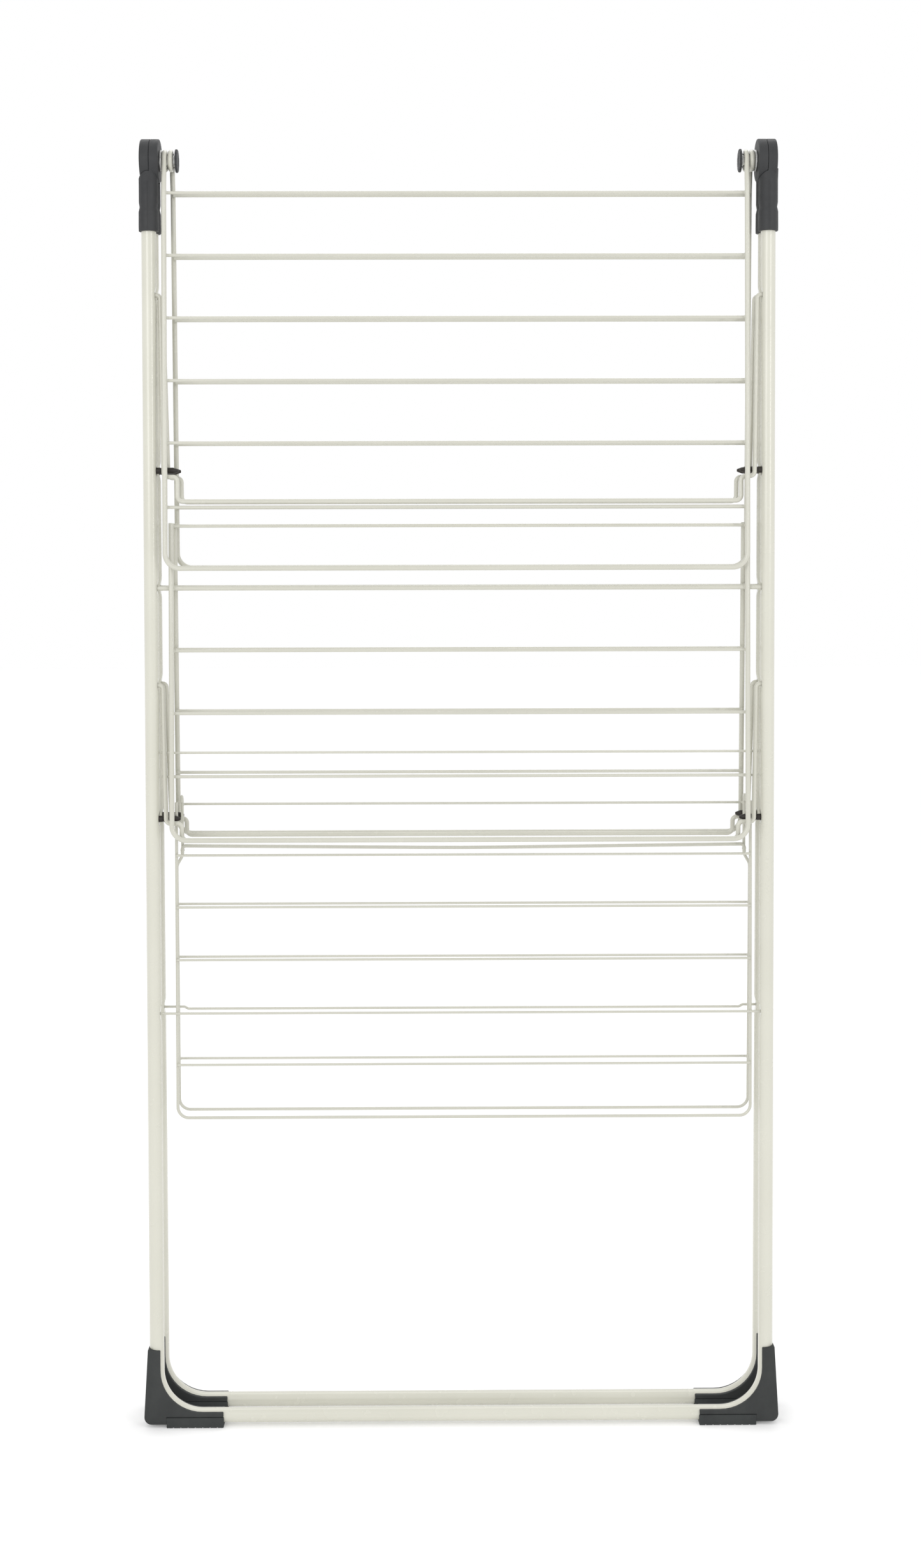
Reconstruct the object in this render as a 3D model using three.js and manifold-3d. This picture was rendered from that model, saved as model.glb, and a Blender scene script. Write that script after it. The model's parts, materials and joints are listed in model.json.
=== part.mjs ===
// Folding clothes drying rack, shown folded flat and standing on its feet.
//
// Units are millimetres, +Z is up, +X runs along the hinge axles and -Y is the front.
// The origin is on the floor, under the middle of the rack.
//
// Two U-shaped leg frames hang from a pair of hinge axles at the top. Each leg frame carries a
// long wing, a mid panel, a low panel and two swinging stays, which hold the wing and the mid
// panel up when the rack is open. The rear set is the front set turned half a turn about Z.

import * as THREE from 'three';
import { mergeVertices } from 'three/addons/utils/BufferGeometryUtils.js';
import Module from 'manifold-3d';

const wasm = await Module();
wasm.setup();

// ---------------------------------------------------------------- driving dimensions

const GAP = 0.3;                    // clearance between pieces that touch
const TUBE_SIDES = 14;
const ROD_SIDES = 8;
const WIRE_SIDES = 6;
const AXLE_HEIGHT = 1379.6;         // hinge axle above the floor
const LEG_LEAN = THREE.MathUtils.degToRad(0.53);   // each leg frame off the vertical

// leg tubes
const TUBE_RADIUS = 8;
const TUBE_WALL = 1.2;
const TUBE_X = 334;                 // tube axis from the middle of the rack
const TUBE_OUT = 9;                 // tube axis from the hinge axis
const TUBE_TOP = 1352.5;
const LEG_RAIL_HEIGHT = 10.5;
const LEG_BEND_RADIUS = 50.5;
const DIMPLE_DEPTH = 2;
const DIMPLE_RADIUS = 19;

// rods and wires
const ROD_RADIUS = 2.75;            // wing and mid panel frames
const STAY_RADIUS = 2.5;
const WIRE_RADIUS = 1.75;           // hanging wires of wings and mid panels
const LIGHT_ROD_RADIUS = 1.65;      // low panel frames
const LIGHT_WIRE_RADIUS = 1.35;     // low panel wires and stay cross wires
const CATCH_RADIUS = 1.9;
const ROD_END_X = 331;              // where the pivot ends stop inside the leg tubes
const WELD_BITE = 0.5;              // how far welded rods sink into each other

// hinge
const KNUCKLE_RADIUS = 23.2;
const KNUCKLE_INNER_X = 322.6;
const KNUCKLE_OUTER_X = 342.6;
const KNUCKLE_SPLIT_X = 332.3;
const KNUCKLE_CHAMFER = 1.2;
const SLEEVE_BOTTOM = 1302.4;
const SLEEVE_WAIST = 1328.3;
const SLEEVE_TOP = 1369;
const AXLE_RADIUS = 6.1;
const AXLE_TIP_X = 338.6;
const CAP_INNER_X = 303.1;
const CAP_OUTER_X = 305.6;
const CAP_RADIUS = 12.5;
const EYE_RING_RADIUS = 9.25;       // centre line of the rod bent round the axle
const OUTER_EYE_X = 317;
const INNER_EYE_X = 310.6;

// wings
const WING_WIRE_HEIGHTS = [1344, 1276.8, 1209.6, 1142.2, 1075.1, 1005.8];
const WING_RAIL_HEIGHT = 940;
const PANEL_BEND_RADIUS = 16;

// mid panels
const MID_PIVOT_HEIGHT = 918.5;
const MID_TOP_HEIGHT = 988.7;
const MID_WIRE_HEIGHTS = [985.8, 850.6, 782.6, 714.2];
const MID_RAIL_HEIGHT = 645.4;
const MID_ROD_X = 312;
const MID_LEAN = THREE.MathUtils.degToRad(1.85);

// low panels
const LOW_PIVOT_HEIGHT = 454.4;
const LOW_RAIL_HEIGHT = 339.4;
const LOW_LEAN = THREE.MathUtils.degToRad(0.8);
const LOW_BEND_RADIUS = 12;
const LOW_FRONT = {
  left: -309.4,
  right: 317,
  topHeight: 685.2,
  wireHeights: [627.4, 570.6, 513, 398.2],
};
const LOW_REAR = {
  left: -313,
  right: 305.4,
  jogHeights: [624, 613],
  jogStep: 6.4,
  wireHeights: [680.4, 569.2, 510.2, 396.1],
  catchHeight: 635,
  catchBow: 3,
  hookCrestHeight: 689.7,
  hookRadius: 3.6,
  pivotDrop: 2.3,
};

// stays
const UPPER_STAY = { pivot: 1234.4, peg: 1045.5, shoulder: 1038.4, bar: 1011.9, innerX: 304.5 };
const LOWER_STAY = { pivot: 813.2, peg: 667.8, shoulder: 663.2, bar: 644.7, innerX: 302 };
const STAY_TOP_X = 322.4;
const STAY_PEG_X = 319;
const STAY_CLEAR_OF_PEG = 6.6;
const LOWER_STAY_WIRES = [739.8, 713.8];

// stop pegs
const PEG_RADIUS = 3.5;
const PEG_ROOT_X = 329.3;
const PEG_TIP_X = 304;

// feet
const FOOT_TOP = 85;
const FOOT_TOP_RISE = 1.8;          // the top edge slants up towards the outside
const FOOT_WALL_TOP_X = 343;
const FOOT_WALL_BASE_X = 347.8;
const FOOT_CORNER_RADIUS = 8;
const FOOT_ARM_END_X = 261;
const FOOT_SHELL_BOTTOM = 3.4;
const FOOT_LIP_X = 329.5;           // edge of the channel that grips the leg tube
const FOOT_LIP_HEIGHT = 16.2;
const FOOT_LIP_BEND = 45.8;
const FOOT_HALF_DEPTH = 10;
const PAD_INNER_X = 260.5;
const PAD_OUTER_X = 323;
const PAD_TOP = 11.3;
const PAD_HALF_DEPTH = 10.6;

// ---------------------------------------------------------------- materials

function coatedSteel() {
  return new THREE.MeshStandardMaterial({ color: 0xd9d6c8, roughness: 0.32, metalness: 0.15 });
}

function darkPlastic() {
  return new THREE.MeshStandardMaterial({ color: 0x43464a, roughness: 0.6, metalness: 0 });
}

function blackPlastic() {
  return new THREE.MeshStandardMaterial({ color: 0x2b241d, roughness: 0.5, metalness: 0 });
}

function zincSteel() {
  return new THREE.MeshStandardMaterial({ color: 0x9a9a96, roughness: 0.4, metalness: 0.8 });
}

// ---------------------------------------------------------------- geometry helpers

function circleShape(radius, sides) {
  const points = [];
  for (let i = 0; i < sides; i += 1) {
    const angle = (2 * Math.PI * (i + 0.5)) / sides;
    points.push(new THREE.Vector2(radius * Math.cos(angle), radius * Math.sin(angle)));
  }
  return new THREE.Shape(points);
}

// A curve that runs straight from each point to the next and puts one step on every point.
class PointPath extends THREE.Curve {
  constructor(points) {
    super();
    this.points = points;
  }

  getPoint(t) {
    const place = t * (this.points.length - 1);
    const index = Math.min(Math.floor(place), this.points.length - 2);
    return this.points[index].clone().lerp(this.points[index + 1], place - index);
  }

  getPointAt(u) {
    return this.getPoint(u);
  }

  getTangentAt(u) {
    const index = Math.round(u * (this.points.length - 1));
    const before = this.points[Math.max(index - 1, 0)];
    const here = this.points[index];
    const after = this.points[Math.min(index + 1, this.points.length - 1)];
    const arriving = here.clone().sub(before).normalize();
    const leaving = after.clone().sub(here).normalize();
    return arriving.add(leaving).normalize();
  }
}

// Corner points as [x, y, z, bend radius]; a bend radius of nothing keeps the corner sharp.
function bentPath(corners, degreesPerStep = 23) {
  const spots = corners.map(([x, y, z]) => new THREE.Vector3(x, y, z));
  const points = [spots[0]];
  for (let i = 1; i < spots.length - 1; i += 1) {
    const radius = corners[i][3];
    if (!radius) {
      points.push(spots[i]);
      continue;
    }
    const toLast = spots[i - 1].clone().sub(spots[i]).normalize();
    const toNext = spots[i + 1].clone().sub(spots[i]).normalize();
    const inside = toLast.angleTo(toNext);
    const turn = Math.PI - inside;
    const reach = radius * Math.tan(turn / 2);
    const middle = toLast.clone().add(toNext).normalize();
    const centre = spots[i].clone().addScaledVector(middle, radius / Math.sin(inside / 2));
    const start = spots[i].clone().addScaledVector(toLast, reach).sub(centre);
    const axis = new THREE.Vector3().crossVectors(toNext, toLast).normalize();
    const steps = Math.max(2, Math.ceil(THREE.MathUtils.radToDeg(turn) / degreesPerStep));
    for (let k = 0; k <= steps; k += 1) {
      points.push(start.clone().applyAxisAngle(axis, (turn * k) / steps).add(centre));
    }
  }
  points.push(spots[spots.length - 1]);
  return points;
}

function rodAlong(points, radius, sides) {
  return new THREE.ExtrudeGeometry(circleShape(radius, sides), {
    steps: points.length - 1,
    bevelEnabled: false,
    extrudePath: new PointPath(points),
  });
}

function straightRod(from, to, radius, sides) {
  return rodAlong([new THREE.Vector3(...from), new THREE.Vector3(...to)], radius, sides);
}

// A solid turned about X from [x, radius] pairs that start and end on the axis.
function turnedAboutX(profile, sides) {
  const points = profile.map(([x, radius]) => new THREE.Vector2(radius, x));
  return new THREE.LatheGeometry(points, sides).rotateZ(-Math.PI / 2);
}

// A solid turned about Z from [radius, z] pairs that start and end on the axis.
function turnedAboutZ(profile, sides) {
  const points = profile.map(([radius, z]) => new THREE.Vector2(radius, z));
  return new THREE.LatheGeometry(points, sides).rotateX(Math.PI / 2);
}

function boxBetween(low, high) {
  const size = high.map((value, i) => value - low[i]);
  const middle = high.map((value, i) => (value + low[i]) / 2);
  return new THREE.BoxGeometry(...size).translate(...middle);
}

function toSolid(geometry) {
  const bare = new THREE.BufferGeometry();
  bare.setAttribute('position', geometry.getAttribute('position').clone());
  if (geometry.index) {
    bare.setIndex(geometry.index.clone());
  }
  const merged = mergeVertices(bare, 1e-4);
  const mesh = new wasm.Mesh({
    numProp: 3,
    vertProperties: new Float32Array(merged.getAttribute('position').array),
    triVerts: new Uint32Array(merged.index.array),
  });
  return new wasm.Manifold(mesh);
}

function toGeometry(solid) {
  const mesh = solid.getMesh();
  const geometry = new THREE.BufferGeometry();
  geometry.setAttribute('position', new THREE.BufferAttribute(mesh.vertProperties, 3));
  geometry.setIndex(new THREE.BufferAttribute(mesh.triVerts, 1));
  geometry.computeVertexNormals();
  return geometry;
}

function joined(geometries) {
  return geometries.map(toSolid).reduce((whole, piece) => whole.add(piece));
}

function cutBy(solid, geometries) {
  return geometries.map(toSolid).reduce((rest, piece) => rest.subtract(piece), solid);
}

function piece(name, geometry, material) {
  const mesh = new THREE.Mesh(geometry, material);
  mesh.name = name;
  return mesh;
}

// ---------------------------------------------------------------- leg frame

// The hole in the inner wall of a leg tube that a rod end or a peg turns in.
function tubeHole(end, height, radius) {
  const from = [end * 320, -TUBE_OUT, height];
  const to = [end * (TUBE_X - 1), -TUBE_OUT, height];
  return straightRod(from, to, radius, 8);
}

function legFrame(holes) {
  const path = bentPath([
    [-TUBE_X, -TUBE_OUT, TUBE_TOP],
    [-TUBE_X, -TUBE_OUT, LEG_RAIL_HEIGHT, LEG_BEND_RADIUS],
    [TUBE_X, -TUBE_OUT, LEG_RAIL_HEIGHT, LEG_BEND_RADIUS],
    [TUBE_X, -TUBE_OUT, TUBE_TOP],
  ], 18);
  const dents = [];
  const thickerDents = [];
  const rodHoles = [];
  for (const end of [-1, 1]) {
    for (const [height, radius] of holes) {
      const x = end * (TUBE_X - TUBE_RADIUS + DIMPLE_DEPTH - DIMPLE_RADIUS);
      const dent = new THREE.SphereGeometry(DIMPLE_RADIUS, 12, 8);
      const thickerDent = new THREE.SphereGeometry(DIMPLE_RADIUS + TUBE_WALL, 12, 8);
      dents.push(dent.translate(x, -TUBE_OUT, height));
      thickerDents.push(thickerDent.translate(x, -TUBE_OUT, height));
      rodHoles.push(tubeHole(end, height, radius));
    }
  }
  const insideOfTube = rodAlong(path, TUBE_RADIUS - TUBE_WALL, TUBE_SIDES);
  const hollow = cutBy(toSolid(insideOfTube), thickerDents);
  const tube = cutBy(toSolid(rodAlong(path, TUBE_RADIUS, TUBE_SIDES)), dents);
  return toGeometry(cutBy(tube.subtract(hollow), rodHoles));
}

function legHoles() {
  return [
    [UPPER_STAY.pivot, STAY_RADIUS + 0.45],
    [UPPER_STAY.peg, PEG_RADIUS + 0.45],
    [MID_PIVOT_HEIGHT, ROD_RADIUS + 0.45],
    [LOWER_STAY.pivot, STAY_RADIUS + 0.45],
    [LOWER_STAY.peg, PEG_RADIUS + 0.45],
    [LOW_PIVOT_HEIGHT, LIGHT_WIRE_RADIUS + 0.4],
  ];
}

// ---------------------------------------------------------------- hinge

function knuckle(end, nearX, farX) {
  const inset = KNUCKLE_CHAMFER;
  const split = KNUCKLE_SPLIT_X;
  const nearEdge = nearX < split - 1 ? [nearX, KNUCKLE_RADIUS - inset] : [nearX, KNUCKLE_RADIUS];
  const farEdge = farX > split + 1 ? [farX, KNUCKLE_RADIUS - inset] : [farX, KNUCKLE_RADIUS];
  const profile = [
    [nearX, 0],
    nearEdge,
    [nearX + (nearX < split - 1 ? inset : 0.01), KNUCKLE_RADIUS],
    [farX - (farX > split + 1 ? inset : 0.01), KNUCKLE_RADIUS],
    farEdge,
    [farX, 0],
  ];
  const turned = turnedAboutX(profile, 24);
  if (end < 0) {
    turned.rotateZ(Math.PI);
  }
  return turned.translate(0, 0, AXLE_HEIGHT);
}

function crosswiseCylinder(end, nearX, farX, radius, sides) {
  const from = [end * nearX, 0, AXLE_HEIGHT];
  const to = [end * farX, 0, AXLE_HEIGHT];
  return straightRod(from, to, radius, sides);
}

function sleeve(end) {
  const profile = [
    [0, SLEEVE_BOTTOM],
    [10.3, SLEEVE_BOTTOM],
    [10.8, SLEEVE_BOTTOM + 1.2],
    [10.7, SLEEVE_BOTTOM + 11],
    [9.8, SLEEVE_WAIST],
    [10.4, SLEEVE_WAIST + 5],
    [10.4, SLEEVE_TOP - 12],
    [10.8, SLEEVE_TOP],
    [0, SLEEVE_TOP],
  ];
  return turnedAboutZ(profile, 16).translate(end * TUBE_X, -TUBE_OUT, 0);
}

// The moulded socket on top of one leg tube, with its half of the knuckle. A leg frame carries
// the inner half at one end and the outer half at the other, so that two alike frames interlock.
function hingeHousing(end) {
  const carriesOuterHalf = end > 0;
  const outer = [KNUCKLE_SPLIT_X + GAP / 2, KNUCKLE_OUTER_X];
  const inner = [KNUCKLE_INNER_X, KNUCKLE_SPLIT_X - GAP / 2];
  const own = carriesOuterHalf ? outer : inner;
  const other = carriesOuterHalf
    ? [KNUCKLE_INNER_X - 5, outer[0]]
    : [inner[1], KNUCKLE_OUTER_X + 5];
  const swept = crosswiseCylinder(end, other[0], other[1], KNUCKLE_RADIUS + 0.45, 24);
  const behind = boxBetween(
    [end * TUBE_X - 20, -GAP / 2, SLEEVE_BOTTOM - 5],
    [end * TUBE_X + 20, 20, AXLE_HEIGHT],
  );
  const socket = cutBy(toSolid(sleeve(end)), [swept, behind]);
  const body = socket.add(toSolid(knuckle(end, own[0], own[1])));
  const boreEnd = carriesOuterHalf ? AXLE_TIP_X + 0.5 : KNUCKLE_SPLIT_X + 1;
  return toGeometry(cutBy(body, [
    crosswiseCylinder(end, KNUCKLE_INNER_X - 1, boreEnd, AXLE_RADIUS + 0.45, 16),
    straightRod(
      [end * TUBE_X, -TUBE_OUT, SLEEVE_BOTTOM - 1],
      [end * TUBE_X, -TUBE_OUT, TUBE_TOP + 0.4],
      TUBE_RADIUS + 0.4,
      TUBE_SIDES,
    ),
  ]));
}

// The stub axle with its thrust washer next to the knuckle.
function axle(end) {
  const washerNear = OUTER_EYE_X + ROD_RADIUS + GAP;
  const washerFar = KNUCKLE_INNER_X - GAP;
  const turned = turnedAboutX([
    [CAP_OUTER_X - 1, 0],
    [CAP_OUTER_X - 1, AXLE_RADIUS],
    [washerNear, AXLE_RADIUS],
    [washerNear, 11.5],
    [washerFar, 11.5],
    [washerFar, AXLE_RADIUS],
    [AXLE_TIP_X, AXLE_RADIUS],
    [AXLE_TIP_X, 0],
  ], 16);
  if (end < 0) {
    turned.rotateZ(Math.PI);
  }
  return turned.translate(0, 0, AXLE_HEIGHT);
}

function axleCap(end) {
  const turned = turnedAboutX([
    [CAP_INNER_X, 0],
    [CAP_INNER_X, CAP_RADIUS - 0.9],
    [CAP_INNER_X + 0.7, CAP_RADIUS],
    [CAP_OUTER_X, CAP_RADIUS],
    [CAP_OUTER_X, AXLE_RADIUS + 0.45],
    [CAP_OUTER_X - 1.3, AXLE_RADIUS + 0.45],
    [CAP_OUTER_X - 1.3, 0],
  ], 16);
  if (end < 0) {
    turned.rotateZ(Math.PI);
  }
  return turned.translate(0, 0, AXLE_HEIGHT);
}

// ---------------------------------------------------------------- pegs and feet

function stopPeg(end, height) {
  const turned = turnedAboutX([
    [PEG_TIP_X, 0],
    [PEG_TIP_X, 1.4],
    [PEG_TIP_X + 5.5, PEG_RADIUS],
    [PEG_ROOT_X, PEG_RADIUS],
    [PEG_ROOT_X, 0],
  ], 10);
  if (end < 0) {
    turned.rotateZ(Math.PI);
  }
  return turned.translate(0, -TUBE_OUT, height);
}

// The clip-on shoe round the outside of one lower bend, with its rubber pad underneath.
function foot(end, floorCutter) {
  const outline = new THREE.Shape();
  const bendCentreX = FOOT_LIP_X - FOOT_LIP_BEND;
  const bendCentreZ = FOOT_LIP_HEIGHT + FOOT_LIP_BEND;
  const cornerX = FOOT_WALL_BASE_X - FOOT_CORNER_RADIUS;
  const cornerZ = FOOT_SHELL_BOTTOM + FOOT_CORNER_RADIUS;
  outline.moveTo(FOOT_LIP_X, FOOT_TOP);
  outline.lineTo(FOOT_LIP_X, bendCentreZ);
  outline.absarc(bendCentreX, bendCentreZ, FOOT_LIP_BEND, 0, -Math.PI / 2, true);
  outline.lineTo(FOOT_ARM_END_X, FOOT_LIP_HEIGHT);
  outline.lineTo(FOOT_ARM_END_X, FOOT_SHELL_BOTTOM);
  outline.lineTo(cornerX, FOOT_SHELL_BOTTOM);
  outline.absarc(cornerX, cornerZ, FOOT_CORNER_RADIUS, -Math.PI / 2, 0, false);
  outline.lineTo(FOOT_WALL_TOP_X, FOOT_TOP + FOOT_TOP_RISE);
  const slab = new THREE.ExtrudeGeometry(outline, {
    depth: 2 * FOOT_HALF_DEPTH,
    bevelEnabled: false,
    curveSegments: 5,
  });
  slab.rotateX(Math.PI / 2).translate(0, FOOT_HALF_DEPTH - TUBE_OUT, 0);
  const pad = boxBetween(
    [PAD_INNER_X, -TUBE_OUT - PAD_HALF_DEPTH, -4],
    [PAD_OUTER_X, -TUBE_OUT + PAD_HALF_DEPTH, PAD_TOP],
  );
  const shoe = [slab, pad];
  if (end < 0) {
    shoe.forEach((geometry) => geometry.rotateZ(Math.PI).translate(0, -2 * TUBE_OUT, 0));
  }
  const tube = rodAlong(bentPath([
    [end * TUBE_X, -TUBE_OUT, FOOT_TOP + 20],
    [end * TUBE_X, -TUBE_OUT, LEG_RAIL_HEIGHT, LEG_BEND_RADIUS],
    [end * (PAD_INNER_X - 20), -TUBE_OUT, LEG_RAIL_HEIGHT],
  ], 18), TUBE_RADIUS + 0.4, TUBE_SIDES);
  return toGeometry(cutBy(joined(shoe), [tube, floorCutter]));
}

// ---------------------------------------------------------------- wings

// How far the wing's rods stand out from the hinge axis at each height.
const WING_PROFILE = [
  [EYE_RING_RADIUS, AXLE_HEIGHT],
  [14.5, 1345],
  [17.5, 1235],
  [24.5, WING_RAIL_HEIGHT],
];

function wingOut(height) {
  const last = WING_PROFILE.length - 1;
  for (let i = 0; i < last; i += 1) {
    const [outA, heightA] = WING_PROFILE[i];
    const [outB, heightB] = WING_PROFILE[i + 1];
    if (height >= heightB) {
      return outA + ((outB - outA) * (heightA - height)) / (heightA - heightB);
    }
  }
  return WING_PROFILE[last][0];
}

function wingFrame() {
  const down = WING_PROFILE.slice(0, -1).map(([out, height]) => [-OUTER_EYE_X, -out, height]);
  const up = WING_PROFILE.slice(0, -1).map(([out, height]) => [INNER_EYE_X, -out, height]);
  const railOut = wingOut(WING_RAIL_HEIGHT);
  const path = bentPath([
    ...down,
    [-OUTER_EYE_X, -railOut, WING_RAIL_HEIGHT, PANEL_BEND_RADIUS],
    [INNER_EYE_X, -railOut, WING_RAIL_HEIGHT, PANEL_BEND_RADIUS],
    ...up.reverse(),
  ]);
  const eyes = [-OUTER_EYE_X, INNER_EYE_X].map((x) => {
    const ring = new THREE.TorusGeometry(EYE_RING_RADIUS, ROD_RADIUS, 8, 16);
    return ring.rotateY(Math.PI / 2).translate(x, 0, AXLE_HEIGHT);
  });
  return toGeometry(joined([rodAlong(path, ROD_RADIUS, ROD_SIDES), ...eyes]));
}

function wingWire(height) {
  const y = -wingOut(height) + ROD_RADIUS + WIRE_RADIUS + GAP;
  const overlap = 0.5;
  const from = [-OUTER_EYE_X + overlap, y, height];
  const to = [INNER_EYE_X - overlap, y, height];
  return straightRod(from, to, WIRE_RADIUS, WIRE_SIDES);
}

// ---------------------------------------------------------------- panels and stays

// Panels are drawn in their own plane: z is measured from the pivot and -y is outwards.
function midPanelFrame() {
  const out = 2 * ROD_RADIUS - WELD_BITE;
  const top = MID_TOP_HEIGHT - MID_PIVOT_HEIGHT;
  const rail = MID_RAIL_HEIGHT - MID_PIVOT_HEIGHT;
  const loop = rodAlong(bentPath([
    [-MID_ROD_X, -out, top],
    [-MID_ROD_X, -out, rail, PANEL_BEND_RADIUS],
    [MID_ROD_X, -out, rail, PANEL_BEND_RADIUS],
    [MID_ROD_X, -out, top],
  ]), ROD_RADIUS, ROD_SIDES);
  const pivot = straightRod([-ROD_END_X, 0, 0], [ROD_END_X, 0, 0], ROD_RADIUS, ROD_SIDES);
  return toGeometry(joined([loop, pivot]));
}

function midPanelWire(height) {
  const y = -(2 * ROD_RADIUS - WELD_BITE) + ROD_RADIUS + WIRE_RADIUS + GAP;
  const z = height - MID_PIVOT_HEIGHT;
  return straightRod([-MID_ROD_X, y, z], [MID_ROD_X, y, z], WIRE_RADIUS, WIRE_SIDES);
}

const LOW_ROD_Y = LIGHT_ROD_RADIUS + LIGHT_WIRE_RADIUS - WELD_BITE + 0.1;

function lowPivotWire(path) {
  return rodAlong(bentPath(path), LIGHT_WIRE_RADIUS, WIRE_SIDES);
}

// The front low panel ends in two plain rod ends, which reach past its top wire.
function lowFrontFrame() {
  const { left, right, topHeight } = LOW_FRONT;
  const top = topHeight - LOW_PIVOT_HEIGHT;
  const rail = LOW_RAIL_HEIGHT - LOW_PIVOT_HEIGHT;
  const loop = rodAlong(bentPath([
    [left, LOW_ROD_Y, top],
    [left, LOW_ROD_Y, rail, LOW_BEND_RADIUS],
    [right, LOW_ROD_Y, rail, LOW_BEND_RADIUS],
    [right, LOW_ROD_Y, top],
  ]), LIGHT_ROD_RADIUS, ROD_SIDES);
  const pivot = lowPivotWire([[-ROD_END_X, 0, 0], [ROD_END_X, 0, 0]]);
  return toGeometry(joined([loop, pivot]));
}

// The rear low panel is narrower above its jog, so that it nests inside the front one. It ends
// in two hooks, and a catch bar crosses it below them.
function lowRearFrame() {
  const { left, right, jogStep, hookRadius, pivotDrop } = LOW_REAR;
  const fromPivot = (height) => height - LOW_PIVOT_HEIGHT;
  const crest = fromPivot(LOW_REAR.hookCrestHeight);
  const rail = fromPivot(LOW_RAIL_HEIGHT);
  const [jogTop, jogBottom] = LOW_REAR.jogHeights.map(fromPivot);
  const hookY = LOW_ROD_Y + 2 * hookRadius;
  const hook = (x) => [
    [x, hookY, crest - hookRadius - 2.5],
    [x, hookY, crest, hookRadius],
    [x, LOW_ROD_Y, crest, hookRadius],
  ];
  const loop = rodAlong(bentPath([
    ...hook(left),
    [left, LOW_ROD_Y, jogTop, LOW_BEND_RADIUS],
    [left - jogStep, LOW_ROD_Y, jogBottom, LOW_BEND_RADIUS],
    [left - jogStep, LOW_ROD_Y, rail, LOW_BEND_RADIUS],
    [right + jogStep, LOW_ROD_Y, rail, LOW_BEND_RADIUS],
    [right + jogStep, LOW_ROD_Y, jogBottom, LOW_BEND_RADIUS],
    [right, LOW_ROD_Y, jogTop, LOW_BEND_RADIUS],
    ...hook(right).reverse(),
  ], 30), LIGHT_ROD_RADIUS, ROD_SIDES);
  const pivot = lowPivotWire([
    [-ROD_END_X, 0, 0],
    [left, 0, 0],
    [left + 4, 0, -pivotDrop],
    [right - 4, 0, -pivotDrop],
    [right, 0, 0],
    [ROD_END_X, 0, 0],
  ]);
  const catchY = LOW_ROD_Y + LIGHT_ROD_RADIUS + CATCH_RADIUS - WELD_BITE;
  const catchZ = fromPivot(LOW_REAR.catchHeight);
  const catchBar = rodAlong(bentPath([
    [left, catchY, catchZ - 9],
    [left, catchY, catchZ, 4],
    [(left + right) / 2, catchY, catchZ - LOW_REAR.catchBow],
    [right, catchY, catchZ, 4],
    [right, catchY, catchZ - 9],
  ], 30), CATCH_RADIUS, ROD_SIDES);
  return toGeometry(joined([loop, pivot, catchBar]));
}

function lowPanelWire(height, left, right) {
  const y = LOW_ROD_Y - LIGHT_ROD_RADIUS - LIGHT_WIRE_RADIUS - GAP;
  const z = height - LOW_PIVOT_HEIGHT;
  return straightRod([left, y, z], [right, y, z], LIGHT_WIRE_RADIUS, WIRE_SIDES);
}

function stayArmX(stay, height) {
  const part = (stay.pivot - height) / (stay.pivot - stay.peg);
  return STAY_TOP_X + (STAY_PEG_X - STAY_TOP_X) * part;
}

// A swinging stay. Its two arms hang in front of the stop pegs and step in below them.
function stay(sizes, wireHeights) {
  const { pivot, shoulder, bar, innerX } = sizes;
  const shoulderX = stayArmX(sizes, shoulder);
  const half = (end) => [
    [end * ROD_END_X, 0, 0],
    [end * STAY_TOP_X, 0, 0, 4.2],
    [end * shoulderX, 0, shoulder - pivot, 5],
    [end * innerX, 0, shoulder - pivot, 5],
    [end * innerX, 0, bar - pivot, 6],
  ];
  const loop = rodAlong(bentPath([...half(-1), ...half(1).reverse()], 30), STAY_RADIUS, ROD_SIDES);
  const wires = wireHeights.map((height) => {
    const y = STAY_RADIUS + LIGHT_WIRE_RADIUS - WELD_BITE;
    const z = height - pivot;
    return straightRod([-324.8, y, z], [324.8, y, z], LIGHT_WIRE_RADIUS, WIRE_SIDES);
  });
  return toGeometry(joined([loop, ...wires]));
}

// ---------------------------------------------------------------- assembly

// A group in which heights are measured from the floor along one leg frame, turned about the
// hinge axis by that frame's lean, and turned half a turn about Z for the rear set.
function legSide(isRear) {
  const upright = new THREE.Group();
  upright.position.z = -AXLE_HEIGHT;
  const leaning = new THREE.Group();
  leaning.position.z = AXLE_HEIGHT;
  leaning.rotation.x = -LEG_LEAN;
  leaning.add(upright);
  const turned = new THREE.Group();
  turned.rotation.z = isRear ? Math.PI : 0;
  turned.add(leaning);
  turned.updateMatrixWorld(true);
  return { turned, upright };
}

function floorCutterFor(upright) {
  const slab = boxBetween([-500, -100, -60], [500, 100, 0]);
  return slab.applyMatrix4(upright.matrixWorld.clone().invert());
}

function pivotGroup(height, lean) {
  const pivot = new THREE.Group();
  pivot.position.set(0, -TUBE_OUT, height);
  pivot.rotation.x = lean;
  return pivot;
}

function addLegParts(upright, side, isRear) {
  const steel = coatedSteel();
  const ends = [-1, 1];
  const sideOf = (end) => ((end < 0) !== isRear ? 'left' : 'right');
  upright.add(piece(`${side}_leg_frame`, legFrame(legHoles()), steel));
  for (const end of ends) {
    const where = sideOf(end);
    upright.add(piece(`${side}_hinge_${where}`, hingeHousing(end), darkPlastic()));
    const shoe = foot(end, floorCutterFor(upright));
    upright.add(piece(`${side}_foot_${where}`, shoe, darkPlastic()));
    const upperPeg = stopPeg(end, UPPER_STAY.peg);
    upright.add(piece(`${side}_upper_peg_${where}`, upperPeg, blackPlastic()));
    const lowerPeg = stopPeg(end, LOWER_STAY.peg);
    upright.add(piece(`${side}_lower_peg_${where}`, lowerPeg, blackPlastic()));
  }
}

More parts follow.
